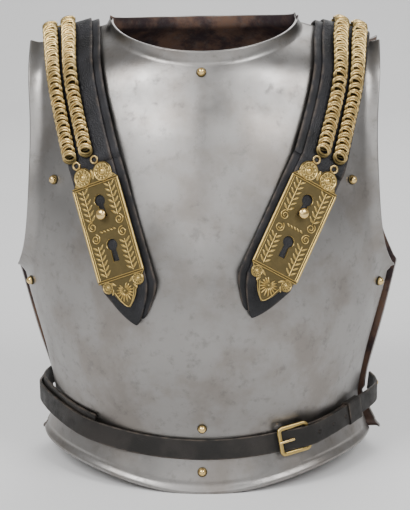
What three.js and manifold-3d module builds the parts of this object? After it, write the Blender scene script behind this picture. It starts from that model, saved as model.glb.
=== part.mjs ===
// A heavy cavalry cuirass: breastplate and backplate of polished steel, two leather shoulder straps
// carrying brass chains and keyhole plates, and a leather waist belt with its buckle.
// Millimetres, +Z up, the wearer's front facing -Y, standing on its lower rims on the plane Z = 0.
import * as THREE from "three";
import { mergeVertices } from "three/addons/utils/BufferGeometryUtils.js";
import Module from "manifold-3d";

const wasm = await Module();
wasm.setup();

// ---------------------------------------------------------------- driving dimensions

const FRONT_WALL = 2.5;
const BACK_WALL = 1.8;
const NECK = { half: 87, tip: 426, frontDip: 23, backDip: 8 };
const SHOULDER = { crown: 444, fall: 20.3, bend: 60, level: 409, tip: 164 };
const WAIST = { height: 57, dip: 9, half: 150, fillet: 4 };
const RIM = { rise: 20 };
const KEEL = { height: 3, half: 26, soften: 0.25, low: 20, high: 395, fade: 60 };
const SPINE = { depth: 7, half: 24, low: 120, high: 400, fade: 90 };
const ARMPIT = 192;
// The backplate hangs a little askew: this share of height goes sideways, and of width goes up.
const LEAN = { slope: 0.015, pivot: 300, above: 60 };

// Cross-sections from the rim up: depth at the ridge, virtual depth of the sides, notional half width,
// and the two exponents of the curve between them.
const BREAST_SECTIONS = [
  { height: 57, ridge: 123, side: 10, half: 151.2, round: 2.2, full: 0.55 },
  { height: 105, ridge: 142, side: 14, half: 159.9, round: 2.2, full: 0.55 },
  { height: 150, ridge: 148, side: 16, half: 170.8, round: 2.2, full: 0.55 },
  { height: 200, ridge: 146, side: 12, half: 181, round: 2.1, full: 0.58 },
  { height: 250, ridge: 138, side: 2, half: 184, round: 2.1, full: 0.62 },
  { height: 300, ridge: 124, side: -8, half: 184, round: 2.1, full: 0.68 },
  { height: 345, ridge: 109, side: -10, half: 184, round: 2.1, full: 0.75 },
  { height: 376, ridge: 97, side: -8, half: 186, round: 2.1, full: 0.8 },
  { height: 401, ridge: 84, side: -5, half: 188, round: 2.2, full: 0.85 },
  { height: 410, ridge: 75, side: -4, half: 190, round: 2.3, full: 0.9 },
  { height: 426, ridge: 46, side: -2, half: 192, round: 2.6, full: 0.95 },
  { height: 444, ridge: 2, side: -1, half: 194, round: 2.8, full: 1 },
];
const BACK_SECTIONS = [
  { height: 57, ridge: 76, side: 10, half: 153, round: 2.4, full: 0.55 },
  { height: 105, ridge: 86, side: 14, half: 161.8, round: 2.4, full: 0.55 },
  { height: 150, ridge: 99, side: 16, half: 172.8, round: 2.4, full: 0.55 },
  { height: 200, ridge: 116, side: 12, half: 182.5, round: 2.4, full: 0.58 },
  { height: 250, ridge: 129, side: 2, half: 184, round: 2.4, full: 0.62 },
  { height: 300, ridge: 135, side: -8, half: 184, round: 2.4, full: 0.68 },
  { height: 345, ridge: 130, side: -10, half: 184, round: 2.4, full: 0.75 },
  { height: 376, ridge: 115, side: -8, half: 186, round: 2.4, full: 0.8 },
  { height: 401, ridge: 95, side: -5, half: 188, round: 2.4, full: 0.85 },
  { height: 420, ridge: 72, side: -4, half: 190, round: 2.5, full: 0.9 },
  { height: 432, ridge: 42, side: -2, half: 192, round: 2.6, full: 0.95 },
  { height: 444, ridge: 2, side: -1, half: 194, round: 2.8, full: 1 },
];
// Half width of the plates' edge below and above the armpit.
const SIDE_EDGE = [
  { height: 0, half: 150 },
  { height: 57, half: 150 },
  { height: 120, half: 163 },
  { height: 175, half: 176 },
  { height: 192, half: 179.5 },
];
const ARM_EDGE = [
  { height: 192, half: 178 },
  { height: 210, half: 170 },
  { height: 235, half: 164 },
  { height: 280, half: 160 },
  { height: 330, half: 158.5 },
  { height: 375, half: 161 },
  { height: 406, half: 164 },
];

// ---------------------------------------------------------------- curves

// Natural cubic spline through the rows of a table: returns a function of height for one column.
function naturalSpline(rows, column) {
  const k = rows.map((r) => r.height);
  const v = rows.map((r) => r[column]);
  const n = k.length;
  const bend = new Array(n).fill(0);
  const share = new Array(n).fill(0);
  for (let i = 1; i < n - 1; i++) {
    const a = k[i] - k[i - 1];
    const b = k[i + 1] - k[i];
    const load = 6 * ((v[i + 1] - v[i]) / b - (v[i] - v[i - 1]) / a);
    const pivot = 2 * (a + b) - a * share[i - 1];
    share[i] = b / pivot;
    bend[i] = (load - a * bend[i - 1]) / pivot;
  }
  for (let i = n - 2; i > 0; i--) bend[i] -= share[i] * bend[i + 1];
  return (height) => {
    const z = Math.min(Math.max(height, k[0]), k[n - 1]);
    let i = 0;
    while (i < n - 2 && z > k[i + 1]) i++;
    const h = k[i + 1] - k[i];
    const a = k[i + 1] - z;
    const b = z - k[i];
    return (
      (bend[i] * a ** 3 + bend[i + 1] * b ** 3) / (6 * h) +
      (v[i] / h - (bend[i] * h) / 6) * a +
      (v[i + 1] / h - (bend[i + 1] * h) / 6) * b
    );
  };
}

const clamp = (t, low = 0, high = 1) => Math.min(Math.max(t, low), high);
const mix = (a, b, t) => a + (b - a) * t;
const softplus = (t, width) => width * Math.log1p(Math.exp(t / width));
const sideEdge = naturalSpline(SIDE_EDGE, "half");
const armEdge = naturalSpline(ARM_EDGE, "half");
const edgeHalf = (z) => (z < ARMPIT ? sideEdge(z) : armEdge(z));
const shoulderDrop = (x) =>
  SHOULDER.fall * (Math.sqrt(1 + (x / SHOULDER.bend) ** 2) - 1);
const waistHeight = (x) =>
  WAIST.height - WAIST.dip * (1 - Math.min(1, (x / WAIST.half) ** 2));

// Height of the shoulder line over x: where the lifted height reaches the crown.
function shoulderHeight(x) {
  let z = SHOULDER.crown - shoulderDrop(x);
  for (let i = 0; i < 6; i++)
    z = SHOULDER.crown - shoulderDrop(x) * (z / SHOULDER.level) ** 2;
  return z;
}

// ---------------------------------------------------------------- the two plates' surfaces

function makePlateForm(spec) {
  const column = Object.fromEntries(
    ["ridge", "side", "half", "round", "full"].map((name) => [
      name,
      naturalSpline(spec.sections, name),
    ]),
  );
  // Depth from the shoulder plane: a curve that falls from the ridge to the side as
  // (1 - s^round)^full, read at a height lifted by the fall of the shoulder.
  // Below the waist the section stays as it is there.
  function depth(x, z) {
    const lifted = z + shoulderDrop(x) * (z / SHOULDER.level) ** 2;
    const h = WAIST.height + softplus(lifted - WAIST.height, WAIST.fillet);
    const side = column.side(h);
    const s = Math.min(Math.abs(x) / column.half(h), 0.9999);
    const swell = (1 - s ** column.round(h)) ** column.full(h);
    return -side + (column.ridge(h) + side) * swell + spec.relief(x, z);
  }
  // The bare form, before the edges are turned: (x, depth) is pushed out below the waist by the flare.
  function point(x, z) {
    const low = waistHeight(x);
    const rim = spec.rim(x);
    const out = (spec.flare * softplus(low - z, WAIST.fillet)) / (low - rim);
    const y = spec.facing * depth(x, z);
    const k = 1 + out / Math.hypot(x, y);
    return new THREE.Vector3(x * k, y * k, z);
  }
  return { ...spec, depth, point };
}

const fadeBand = (z, low, high, fade) =>
  clamp((z - low) / fade) * clamp((high - z) / fade);
const rimRise = (x) =>
  RIM.rise * Math.sin((Math.PI / 2) * clamp(Math.abs(x) / WAIST.half)) ** 2;

const breastForm = makePlateForm({
  facing: -1,
  sections: BREAST_SECTIONS,
  dip: NECK.frontDip,
  flare: 13,
  wall: FRONT_WALL,
  edgeOut: 0,
  rim: rimRise,
  relief: (x, z) =>
    KEEL.height *
    Math.exp(KEEL.soften - Math.hypot(x / KEEL.half, KEEL.soften)) *
    fadeBand(z, KEEL.low, KEEL.high, KEEL.fade),
  collar: { reach: 8.5, height: 8 },
  armLip: { reach: 12, height: 6.5 },
  sideLip: { reach: 10, high: 0, low: 0 },
});
const backForm = makePlateForm({
  facing: 1,
  sections: BACK_SECTIONS,
  dip: NECK.backDip,
  flare: 19,
  wall: BACK_WALL,
  edgeOut: 1,
  rim: (x) => RIM.rise * clamp((Math.abs(x) - 100) / 50) ** 2,
  relief: (x, z) =>
    -SPINE.depth *
    Math.exp(-((x / SPINE.half) ** 2)) *
    fadeBand(z, SPINE.low, SPINE.high, SPINE.fade),
  collar: { reach: 8.5, height: 8 },
  armLip: { reach: 12, height: 6.5 },
  sideLip: { reach: 10, high: 7, low: 3 },
});

// The backplate's slight askew hang.
function leaned(p) {
  const share = clamp(p.z / LEAN.above);
  return new THREE.Vector3(
    p.x + (LEAN.pivot - p.z) * LEAN.slope,
    p.y,
    p.z + p.x * LEAN.slope * share,
  );
}

// ---------------------------------------------------------------- grids

const NECK_COLUMN = 0.5;
const FLANGE_ROWS = [0, 0.07, 0.16, 0.34, 0.56, 0.8];
const BODY_ROWS = [
  0, 0.03, 0.07, 0.13, 0.22, 0.32, 0.42, 0.52, 0.62, 0.71, 0.79, 0.86, 0.92,
  0.955, 0.975, 0.988, 1,
];
const INNER_COLUMNS = 6;
const OUTER_COLUMNS = 6;
const EDGE_CROWDING = 1.6;

function columnShares() {
  const half = [];
  for (let i = 0; i <= INNER_COLUMNS; i++)
    half.push((NECK_COLUMN * i) / INNER_COLUMNS);
  for (let i = 1; i <= OUTER_COLUMNS; i++)
    half.push(mix(1, NECK_COLUMN, (1 - i / OUTER_COLUMNS) ** EDGE_CROWDING));
  return [...half.slice(1).map((c) => -c).reverse(), ...half];
}

// Rows of points from the rim to the neck and shoulders, columns from the wearer's right to left.
function bareGrid(form) {
  const shares = columnShares();
  const top = shares.map((c) => {
    const a = Math.abs(c);
    if (a <= NECK_COLUMN) {
      const turn = (Math.PI / 2) * (a / NECK_COLUMN);
      return {
        x: NECK.half * Math.sin(turn),
        z: NECK.tip - form.dip * Math.cos(turn),
      };
    }
    const x = mix(NECK.half, SHOULDER.tip, (a - NECK_COLUMN) / (1 - NECK_COLUMN));
    return { x, z: shoulderHeight(x) };
  });
  const smoothTop = mix(NECK.tip - form.dip, SHOULDER.level, 0.6);
  const grid = [];
  for (const f of FLANGE_ROWS)
    grid.push(
      shares.map((c) => {
        const x = c * (WAIST.half + form.edgeOut);
        return form.point(x, mix(form.rim(x), waistHeight(x), f));
      }),
    );
  for (const v of BODY_ROWS) {
    const zSide = mix(WAIST.height, top[0].z, v);
    const half = edgeHalf(zSide) + form.edgeOut * (1 - v);
    grid.push(
      shares.map((c, i) => {
        const low = waistHeight(c * WAIST.half);
        const even = mix(low, mix(smoothTop, top[0].z, c * c), v);
        const z = mix(even, mix(low, top[i].z, v), v ** 4);
        const w = v * v;
        const share = mix(Math.abs(c), top[i].x / SHOULDER.tip, w);
        return form.point(Math.sign(c) * half * share, z);
      }),
    );
  }
  return grid;
}

function gridNormals(grid, facing) {
  const at = (i, j) =>
    grid[clamp(i, 0, grid.length - 1)][clamp(j, 0, grid[0].length - 1)];
  return grid.map((row, i) =>
    row.map((_, j) => {
      const across = at(i, j + 1).clone().sub(at(i, j - 1));
      const up = at(i + 1, j).clone().sub(at(i - 1, j));
      return across.cross(up).multiplyScalar(-facing).normalize();
    }),
  );
}

function distanceToLine(p, line) {
  const segment = new THREE.Line3();
  const near = new THREE.Vector3();
  let best = Infinity;
  for (let i = 0; i < line.length - 1; i++) {
    segment.set(line[i], line[i + 1]).closestPointToPoint(p, true, near);
    best = Math.min(best, near.distanceTo(p));
  }
  return best;
}

// Turns the neck, arm and side edges outwards: each point moves along its normal by
// height x (1 - distance / reach) squared.
function turnEdges(grid, form) {
  const normals = gridNormals(grid, form.facing);
  const last = grid[0].length - 1;
  const shares = columnShares();
  const neck = grid.at(-1).filter((_, j) => Math.abs(shares[j]) <= NECK_COLUMN);
  const edges = [0, last].map((j) => {
    const edge = grid.slice(FLANGE_ROWS.length).map((row) => row[j]);
    const split = edge.findIndex((p) => p.z >= ARMPIT);
    return { arm: edge.slice(split), side: edge.slice(0, split) };
  });
  const curl = (d, lip) => lip.height * clamp(1 - d / lip.reach) ** 2;
  return grid.map((row, i) =>
    row.map((p, j) => {
      const edge = edges[p.x > 0 ? 1 : 0];
      const sideHeight = mix(
        form.sideLip.low,
        form.sideLip.high,
        clamp((p.z - WAIST.height) / (ARMPIT - WAIST.height)),
      );
      const push =
        curl(distanceToLine(p, neck), form.collar) +
        Math.max(
          curl(distanceToLine(p, edge.arm), form.armLip),
          curl(distanceToLine(p, edge.side), {
            reach: form.sideLip.reach,
            height: sideHeight,
          }),
        );
      return p.clone().addScaledVector(normals[i][j], push);
    }),
  );
}

// ---------------------------------------------------------------- solids

function geometryOf(points, triangles) {
  const geometry = new THREE.BufferGeometry();
  geometry.setAttribute(
    "position",
    new THREE.Float32BufferAttribute(points.flatMap((p) => p.toArray()), 3),
  );
  geometry.setIndex(triangles);
  geometry.computeVertexNormals();
  return geometry;
}

// A closed wall between an outer grid and the same grid moved inwards.
function wallBetween(outer, inner, facing) {
  const rows = outer.length;
  const cols = outer[0].length;
  const at = (i, j) => i * cols + j;
  const inside = rows * cols;
  const triangles = [];
  const quad = (a, b, c, d) => {
    if (facing > 0) triangles.push(a, c, b, a, d, c);
    else triangles.push(a, b, c, a, c, d);
  };
  for (let i = 0; i < rows - 1; i++)
    for (let j = 0; j < cols - 1; j++) {
      quad(at(i, j), at(i, j + 1), at(i + 1, j + 1), at(i + 1, j));
      quad(
        inside + at(i + 1, j),
        inside + at(i + 1, j + 1),
        inside + at(i, j + 1),
        inside + at(i, j),
      );
    }
  for (let j = 0; j < cols - 1; j++) {
    const top = rows - 1;
    quad(at(0, j + 1), at(0, j), inside + at(0, j), inside + at(0, j + 1));
    quad(at(top, j), at(top, j + 1), inside + at(top, j + 1), inside + at(top, j));
  }
  for (let i = 0; i < rows - 1; i++) {
    const end = cols - 1;
    quad(at(i, 0), at(i + 1, 0), inside + at(i + 1, 0), inside + at(i, 0));
    quad(at(i + 1, end), at(i, end), inside + at(i, end), inside + at(i + 1, end));
  }
  return geometryOf([...outer.flat(), ...inner.flat()], triangles);
}

function plateGeometry(form, place = (p) => p) {
  const outer = turnEdges(bareGrid(form), form).map((row) => row.map(place));
  const normals = gridNormals(outer, form.facing);
  const inner = outer.map((row, i) =>
    row.map((p, j) => {
      const q = p.clone().addScaledVector(normals[i][j], -form.wall);
      return i === 0 ? q.setZ(p.z) : q;
    }),
  );
  return wallBetween(outer, inner, form.facing);
}

// ---------------------------------------------------------------- bands, tubes and cuts

// Joins rings of equal length into one closed body with flat ends, faces outwards.
function tubeThrough(rings) {
  const count = rings[0].length;
  const points = rings.flat();
  const triangles = [];
  // Both faces of a flat band are split along the same diagonal, so that layers on it lie parallel.
  for (let r = 0; r < rings.length - 1; r++)
    for (let k = 0; k < count; k++) {
      const a = r * count + k;
      const b = r * count + ((k + 1) % count);
      if (k < count / 2) triangles.push(a, b, b + count, a, b + count, a + count);
      else triangles.push(a, b, a + count, b, b + count, a + count);
    }
  const end = (rings.length - 1) * count;
  for (let k = 1; k < count - 1; k++)
    triangles.push(0, k + 1, k, end, end + k, end + k + 1);
  if (signedVolume(points, triangles) < 0) triangles.reverse();
  return geometryOf(points, triangles);
}

function signedVolume(points, triangles) {
  let volume = 0;
  for (let i = 0; i < triangles.length; i += 3) {
    const [a, b, c] = [0, 1, 2].map((k) => points[triangles[i + k]]);
    volume += a.dot(b.clone().cross(c)) / 6;
  }
  return volume;
}

// A place on a route: its point, the outward normal, the direction across and the direction along.
const placeAt = (station, across, out) =>
  station.point
    .clone()
    .addScaledVector(station.across, across)
    .addScaledVector(station.normal, out);

function bandBetween(stations, profileOf) {
  return tubeThrough(
    stations.map((station, i) =>
      profileOf(station, i).map(([across, out]) => placeAt(station, across, out)),
    ),
  );
}

const flatSection = (centre, half, low, high) => [
  [centre - half, low],
  [centre + half, low],
  [centre + half, high],
  [centre - half, high],
];

const roundSection = (centre, half, height, thick, sides) =>
  Array.from({ length: sides }, (_, k) => {
    const turn = (2 * Math.PI * (k + 0.5)) / sides;
    return [centre + half * Math.cos(turn), height + thick * Math.sin(turn)];
  });

// A smooth route through rows of { point, normal }: station(share) gives the place at a share of its length.
function makeRoute(rows) {
  const line = new THREE.CatmullRomCurve3(rows.map((r) => r.point), false, "catmullrom");
  const facing = new THREE.CatmullRomCurve3(rows.map((r) => r.normal), false, "catmullrom");
  line.arcLengthDivisions = 400;
  const station = (share) => {
    const t = line.getUtoTmapping(clamp(share));
    const along = line.getTangent(t);
    const normal = facing.getPoint(t);
    normal.addScaledVector(along, -normal.dot(along)).normalize();
    const across = along.clone().cross(normal);
    return { point: line.getPoint(t), normal, along, across };
  };
  return { station, length: line.getLength() };
}

const stationsBetween = (route, from, to, steps) =>
  Array.from({ length: steps + 1 }, (_, i) =>
    route.station(mix(from, to, i / steps) / route.length),
  );

function solidOf(geometry) {
  const bare = new THREE.BufferGeometry();
  const plain = geometry.index ? geometry.toNonIndexed() : geometry;
  bare.setAttribute("position", plain.getAttribute("position"));
  const merged = mergeVertices(bare, 1e-4);
  return new wasm.Manifold(
    new wasm.Mesh({
      numProp: 3,
      vertProperties: merged.attributes.position.array,
      triVerts: new Uint32Array(merged.index.array),
    }),
  );
}

function geometryFrom(solid) {
  const mesh = solid.getMesh();
  const geometry = new THREE.BufferGeometry();
  geometry.setAttribute("position", new THREE.BufferAttribute(mesh.vertProperties, 3));
  geometry.setIndex(new THREE.BufferAttribute(mesh.triVerts, 1));
  return geometry;
}

const united = (geometries) =>
  geometryFrom(geometries.map(solidOf).reduce((a, b) => a.add(b)));
const cutFrom = (geometry, tools) =>
  geometryFrom(tools.map(solidOf).reduce((a, b) => a.subtract(b), solidOf(geometry)));

// ---------------------------------------------------------------- places on the steel

function steelPlace(form, x, z, place = (p) => p) {
  const step = 0.5;
  const at = (dx, dz) => place(form.point(x + dx, z + dz));
  const right = at(step, 0).sub(at(-step, 0));
  const up = at(0, step).sub(at(0, -step));
  const normal = right.cross(up).normalize();
  if (normal.y * form.facing < 0) normal.negate();
  return { point: place(form.point(x, z)), normal };
}

const lifted = (place, lift) => ({
  point: place.point.clone().addScaledVector(place.normal, lift),
  normal: place.normal.clone(),
});

// Turns a solid built along +Z (out of the steel) to stand at a place.
function standAt(geometry, place, lift) {
  const turn = new THREE.Quaternion().setFromUnitVectors(
    new THREE.Vector3(0, 0, 1),
    place.normal,
  );
  const at = place.point.clone().addScaledVector(place.normal, lift);
  return geometry.applyMatrix4(
    new THREE.Matrix4().compose(at, turn, new THREE.Vector3(1, 1, 1)),
  );
}

// A solid of revolution about +Z from [radius, height] rows that start and end on the axis.
function turned(rows, segments) {
  const profile = rows.map(([radius, height]) => new THREE.Vector2(radius, height));
  return new THREE.LatheGeometry(profile, segments).rotateX(Math.PI / 2);
}

// ---------------------------------------------------------------- rivets

const GAP = 0.35;
const RIVET = { radius: 4.6, height: 4.2, collar: 0.9, segments: 8 };

function rivetGeometry(scale = 1) {
  const { radius, height, collar } = RIVET;
  const rows = [
    [0, 0],
    [radius, 0],
    [radius, collar],
    [radius * 0.86, collar + height * 0.45],
    [radius * 0.5, collar + height * 0.85],
    [0, collar + height],
  ];
  return turned(rows.map((row) => row.map((v) => v * scale)), RIVET.segments);
}

const FRONT_RIVETS = [
  { name: "rivet_neck", x: 0, z: 390.5 },
  { name: "rivet_chest_left", x: -139, z: 288 },
  { name: "rivet_chest_right", x: 139, z: 288 },
  { name: "rivet_side_left", x: -167.5, z: 182 },
  { name: "rivet_side_right", x: 167.5, z: 182 },
  { name: "rivet_waist", x: 0, z: 62 },
  { name: "rivet_rim", x: 0, z: 20 },
];
const BACK_RIVETS = [
  { name: "rivet_back_neck", x: 0, z: 405 },
  { name: "rivet_back_waist", x: 0, z: 74 },
];

// ---------------------------------------------------------------- shoulder straps

const STRAP = { half: 23, wall: 2.2, tongue: 36, start: -107, tipHalf: 1 };
const BACKING = { half: 23, wall: 2.2, inward: 7, tongue: 30, start: -103 };
const PLATE = { half: 24.5, top: 29, bottom: -59, wall: 1.7 };
const ROUNDEL = { across: 10.5, rise: 8.5, radius: 8.6 };
const FOOT_ROUNDEL = { across: 16, drop: 6.5, radius: 5.8 };
const PALMETTE = { drop: 13, radius: 11, tip: 29.5, shoulder: 2, bulge: 8 };
const BORDER = { half: 1.3, inset: 0.4, low: 0.6, high: 0.9 };
const RULES = { ends: [0.8, 1.9], half: 0.6, inset: 1, low: 0.9, high: 0.7 };
const SPRAYS = { upper: [-4, 26], lower: [-56, -26], pairs: 3 };
const MIDDLE_ROW = -16;
const KEYHOLE = { radius: 5.3, slotHalf: 2.7, slot: 15.5 };
const KEYHOLE_TOPS = [13, -29];
const CHAIN = { half: 7.4, thick: 3.4, sides: 6, stations: 14, start: 56, spread: 18, pastCrest: 9 };
const CHAIN_RING = { radius: 3.3, wire: 1, along: 50.4 };
const STUD = { neck: 2.1, head: 4.9, rise: 9.2, height: 5.4 };
const PLANE_LIFT = 1;
const PLANE_ORIGIN = -24;
const PLANE_STOPS = [-70, -60, -30, 0, 30, 46, 54];
const STRAP_LEVELS = {
  backing: [0, BACKING.wall],
  strap: [BACKING.wall + 2 * GAP, BACKING.wall + 2 * GAP + STRAP.wall],
};
const BRASS_LEVEL = STRAP_LEVELS.strap[1] + GAP;

// Each strap: the stud it hooks on, its plate's tilt, its route over the shoulder and down the back
// (distance from the middle, clear lift off the steel) and where the pair of chains lies across it.
const STRAPS = [
  {
    side: "left",
    sign: -1,
    stud: { x: 86, z: 265 },
    tilt: 17,
    front: [
      { x: 110.5, z: 352, lift: 3.2 },
      { x: 117.5, z: 381, lift: 3 },
      { x: 124.5, z: 406, lift: 3.2 },
    ],
    crest: { x: 128, lift: 4.8 },
    chains: -8,
  },
  {
    side: "right",
    sign: 1,
    stud: { x: 89, z: 266 },
    tilt: 26,
    front: [
      { x: 120, z: 350, lift: 3.2 },
      { x: 126.5, z: 378, lift: 3 },
      { x: 131, z: 404, lift: 3.2 },
    ],
    crest: { x: 133, lift: 4.6 },
    chains: -3,
  },
];
const STRAP_BACK = [
  { x: 130, z: 404, lift: 3.2 },
  { x: 128, z: 380, lift: 2.6 },
  { x: 124, z: 352, lift: 2 },
];
const STRAP_END = 8;
const END_RIVET = { inset: 9, across: 12, scale: 0.8 };

// The flat plane that the brass plate lies in: tangent to the steel just below the stud.
function plateFrame(strap) {
  const tilt = THREE.MathUtils.degToRad(strap.tilt);
  const lean = new THREE.Vector3(strap.sign * Math.sin(tilt), 0, Math.cos(tilt));
  const origin = steelPlace(
    breastForm,
    strap.sign * strap.stud.x + lean.x * PLANE_ORIGIN,
    strap.stud.z + lean.z * PLANE_ORIGIN,
  );
  const { normal } = origin;
  const up = lean.clone().setY(-lean.dot(normal) / normal.y).normalize();
  const across = up.clone().cross(normal);
  const zero = origin.point
    .clone()
    .addScaledVector(up, -PLANE_ORIGIN)
    .addScaledVector(normal, PLANE_LIFT);
  const matrix = new THREE.Matrix4().makeBasis(across, up, normal).setPosition(zero);
  return { normal, up, across, zero, matrix };
}

function strapRoute(strap) {
  const frame = plateFrame(strap);
  const onPlane = (b) => frame.zero.clone().addScaledVector(frame.up, b);
  const rows = [STRAP.start, mix(STRAP.start, PLANE_STOPS[0], 0.5)].map((b) => {
    const p = onPlane(b);
    return lifted(steelPlace(breastForm, p.x, p.z), PLANE_LIFT);
  });
  for (const b of PLANE_STOPS) rows.push({ point: onPlane(b), normal: frame.normal });
  for (const r of strap.front)
    rows.push(lifted(steelPlace(breastForm, strap.sign * r.x, r.z), r.lift));
  const x = strap.sign * strap.crest.x;
  const z = shoulderHeight(x);
  const slope = (shoulderHeight(x + 1) - shoulderHeight(x - 1)) / 2;
  const normal = new THREE.Vector3(-slope, 0, 1).normalize();
  rows.push(lifted({ point: new THREE.Vector3(x, 0, z), normal }, strap.crest.lift));
  for (const r of STRAP_BACK)
    rows.push(lifted(steelPlace(backForm, strap.sign * r.x, r.z, leaned), r.lift));
  const route = makeRoute(rows);
  // Distance along the route of a place b on the plate's axis, and of the crest.
  const alongAt = (b) => b - STRAP.start;
  let crest = 0;
  while (route.station(crest / route.length).point.y < 0) crest += 1;
  return { ...route, frame, alongAt, crest };
}

// A tongue narrows to its tip as (distance / length) to the power 0.7.
const tongueHalf = (d, size) =>
  Math.max(STRAP.tipHalf, size.half * clamp(d / size.tongue) ** 0.7);

function strapStations(route, start) {
  const tongue = [0, 4, 9, 16, 25, 35, 46, 58];
  const body = [72, 105, 135, 158, 172];
  const bend = Array.from({ length: 15 }, (_, i) =>
    mix(188, route.length - STRAP_END, i / 14),
  );
  const distances = [...tongue, ...body, ...bend].filter((d) => d >= start);
  return distances.map((d) => ({ ...route.station(d / route.length), distance: d }));
}

function keyholeShape(top, grow) {
  const r = KEYHOLE.radius + grow;
  const s = KEYHOLE.slotHalf + grow;
  const meet = Math.asin(s / r);
  const shape = new THREE.Shape();
  const from = -Math.PI / 2 + meet;
  shape.absarc(0, top, r, from, 1.5 * Math.PI - meet, false);
  shape.absarc(0, top - KEYHOLE.slot + s, s, Math.PI, 2 * Math.PI, false);
  shape.closePath();
  return shape;
}

const slab = (shape, low, high, curveSegments = 5) =>
  new THREE.ExtrudeGeometry(shape, {
    depth: high - low,
    bevelEnabled: false,
    curveSegments,
  }).translate(0, 0, low);

// The leather is cut through behind both keyholes, a little wider than the brass.
function keyholeCutters(frame) {
  return KEYHOLE_TOPS.map((top) =>
    slab(keyholeShape(top, 0.5), -4, BRASS_LEVEL + 4, 4).applyMatrix4(frame.matrix),
  );
}

function strapGeometry(strap, route) {
  const [low, high] = STRAP_LEVELS.strap;
  const band = bandBetween(strapStations(route, 0), (station) =>
    flatSection(0, tongueHalf(station.distance, STRAP), low, high),
  );
  return cutFrom(band, keyholeCutters(route.frame));
}

function backingGeometry(strap, route) {
  const [low, high] = STRAP_LEVELS.backing;
  const start = BACKING.start - STRAP.start;
  const band = bandBetween(strapStations(route, start), (station) =>
    flatSection(
      -strap.sign * BACKING.inward,
      tongueHalf(station.distance - start, BACKING),
      low,
      high,
    ),
  );
  return cutFrom(band, keyholeCutters(route.frame));
}

// Where the two chains lie across a strap, outer one first.
const chainOffsets = (strap) =>
  [-0.5, 0.5].map((k) => -strap.sign * (strap.chains + k * CHAIN.spread));

function chainGeometry(route, offset) {
  const from = route.alongAt(CHAIN.start);
  const stations = stationsBetween(route, from, route.crest + CHAIN.pastCrest, CHAIN.stations);
  const height = BRASS_LEVEL + CHAIN.thick + 2 * GAP;
  return bandBetween(stations, () =>
    roundSection(offset, CHAIN.half, height, CHAIN.thick, CHAIN.sides),
  );
}

function chainBarGeometry(strap, route) {
  const from = route.crest + CHAIN.pastCrest + GAP * 2;
  const centre = -strap.sign * strap.chains;
  return bandBetween(stationsBetween(route, from, from + 7, 2), () =>
    flatSection(centre, CHAIN.spread / 2 + CHAIN.half, BRASS_LEVEL, BRASS_LEVEL + 3),
  );
}

// The strap's back end is held by a pair of rivets.
function endRivetGeometry(route, side) {
  const share = (route.length - STRAP_END - END_RIVET.inset) / route.length;
  const station = route.station(share);
  const point = placeAt(station, side * END_RIVET.across, STRAP_LEVELS.strap[1]);
  return standAt(rivetGeometry(END_RIVET.scale), { point, normal: station.normal }, GAP);
}

function chainRingGeometry(strap, route, offset, index) {
  const toNeck = -strap.sign;
  const roundel = toNeck * (index === 0 ? -1 : 1) * ROUNDEL.across;
  const across = mix(offset, roundel, 0.5);
  return new THREE.TorusGeometry(CHAIN_RING.radius, CHAIN_RING.wire, 4, 8)
    .translate(across, CHAIN_RING.along, BRASS_LEVEL + CHAIN_RING.wire)
    .applyMatrix4(route.frame.matrix);
}

// ---------------------------------------------------------------- keyhole plates

function plateOutline() {
  const { half, top, bottom } = PLATE;
  const shape = new THREE.Shape();
  const feet = bottom - FOOT_ROUNDEL.drop;
  const shield = bottom - PALMETTE.drop - PALMETTE.shoulder;
  const bulge = bottom - PALMETTE.tip + PALMETTE.bulge;
  shape.moveTo(half, bottom);
  shape.lineTo(half, top);
  shape.absarc(ROUNDEL.across, top + ROUNDEL.rise, ROUNDEL.radius, -0.35, Math.PI * 0.82, false);
  shape.absarc(-ROUNDEL.across, top + ROUNDEL.rise, ROUNDEL.radius, Math.PI * 0.18, Math.PI + 0.35, false);
  shape.lineTo(-half, top);
  shape.lineTo(-half, bottom);
  shape.absarc(-FOOT_ROUNDEL.across, feet, FOOT_ROUNDEL.radius, Math.PI * 0.85, Math.PI * 1.62, false);
  shape.lineTo(-PALMETTE.radius, shield);
  shape.quadraticCurveTo(-PALMETTE.radius * 0.8, bulge, 0, bottom - PALMETTE.tip);
  shape.quadraticCurveTo(PALMETTE.radius * 0.8, bulge, PALMETTE.radius, shield);
  shape.absarc(FOOT_ROUNDEL.across, feet, FOOT_ROUNDEL.radius, Math.PI * 1.38, Math.PI * 2.15, false);
  shape.closePath();
  shape.holes = KEYHOLE_TOPS.map((t) => keyholeShape(t, 0));
  return shape;
}

const rectangle = (x0, y0, x1, y1) =>
  new THREE.Shape([
    new THREE.Vector2(x0, y0),
    new THREE.Vector2(x1, y0),
    new THREE.Vector2(x1, y1),
    new THREE.Vector2(x0, y1),
  ]);

// A leaf or petal: an octahedron drawn out along its direction, half sunk in the plate.
function leaf(x, y, length, width, turn, height = 0.9) {
  return new THREE.OctahedronGeometry(1)
    .scale(width / 2, length / 2, height)
    .rotateZ(turn)
    .translate(x, y, PLATE.wall);
}

function roundelRelief(x, y, radius) {
  const ring = turned(
    [
      [0, -0.5],
      [radius, -0.5],
      [radius, 0.7],
      [radius * 0.78, 1.1],
      [radius * 0.5, 0.4],
      [0, 1.5],
    ],
    9,
  );
  return ring.translate(x, y, PLATE.wall);
}

function palmetteRelief() {
  const y = PLATE.bottom - PALMETTE.drop;
  const petals = [-2, -1, 0, 1, 2].map((k) => {
    const turn = (k * Math.PI) / 5.5;
    const reach = PALMETTE.radius * 0.56;
    return leaf(-Math.sin(turn) * reach, y - Math.cos(turn) * reach + 1, 9, 3, -turn);
  });
  return [...petals, leaf(0, y + 3, 5, 6, 0, 1.2)];
}

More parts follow.
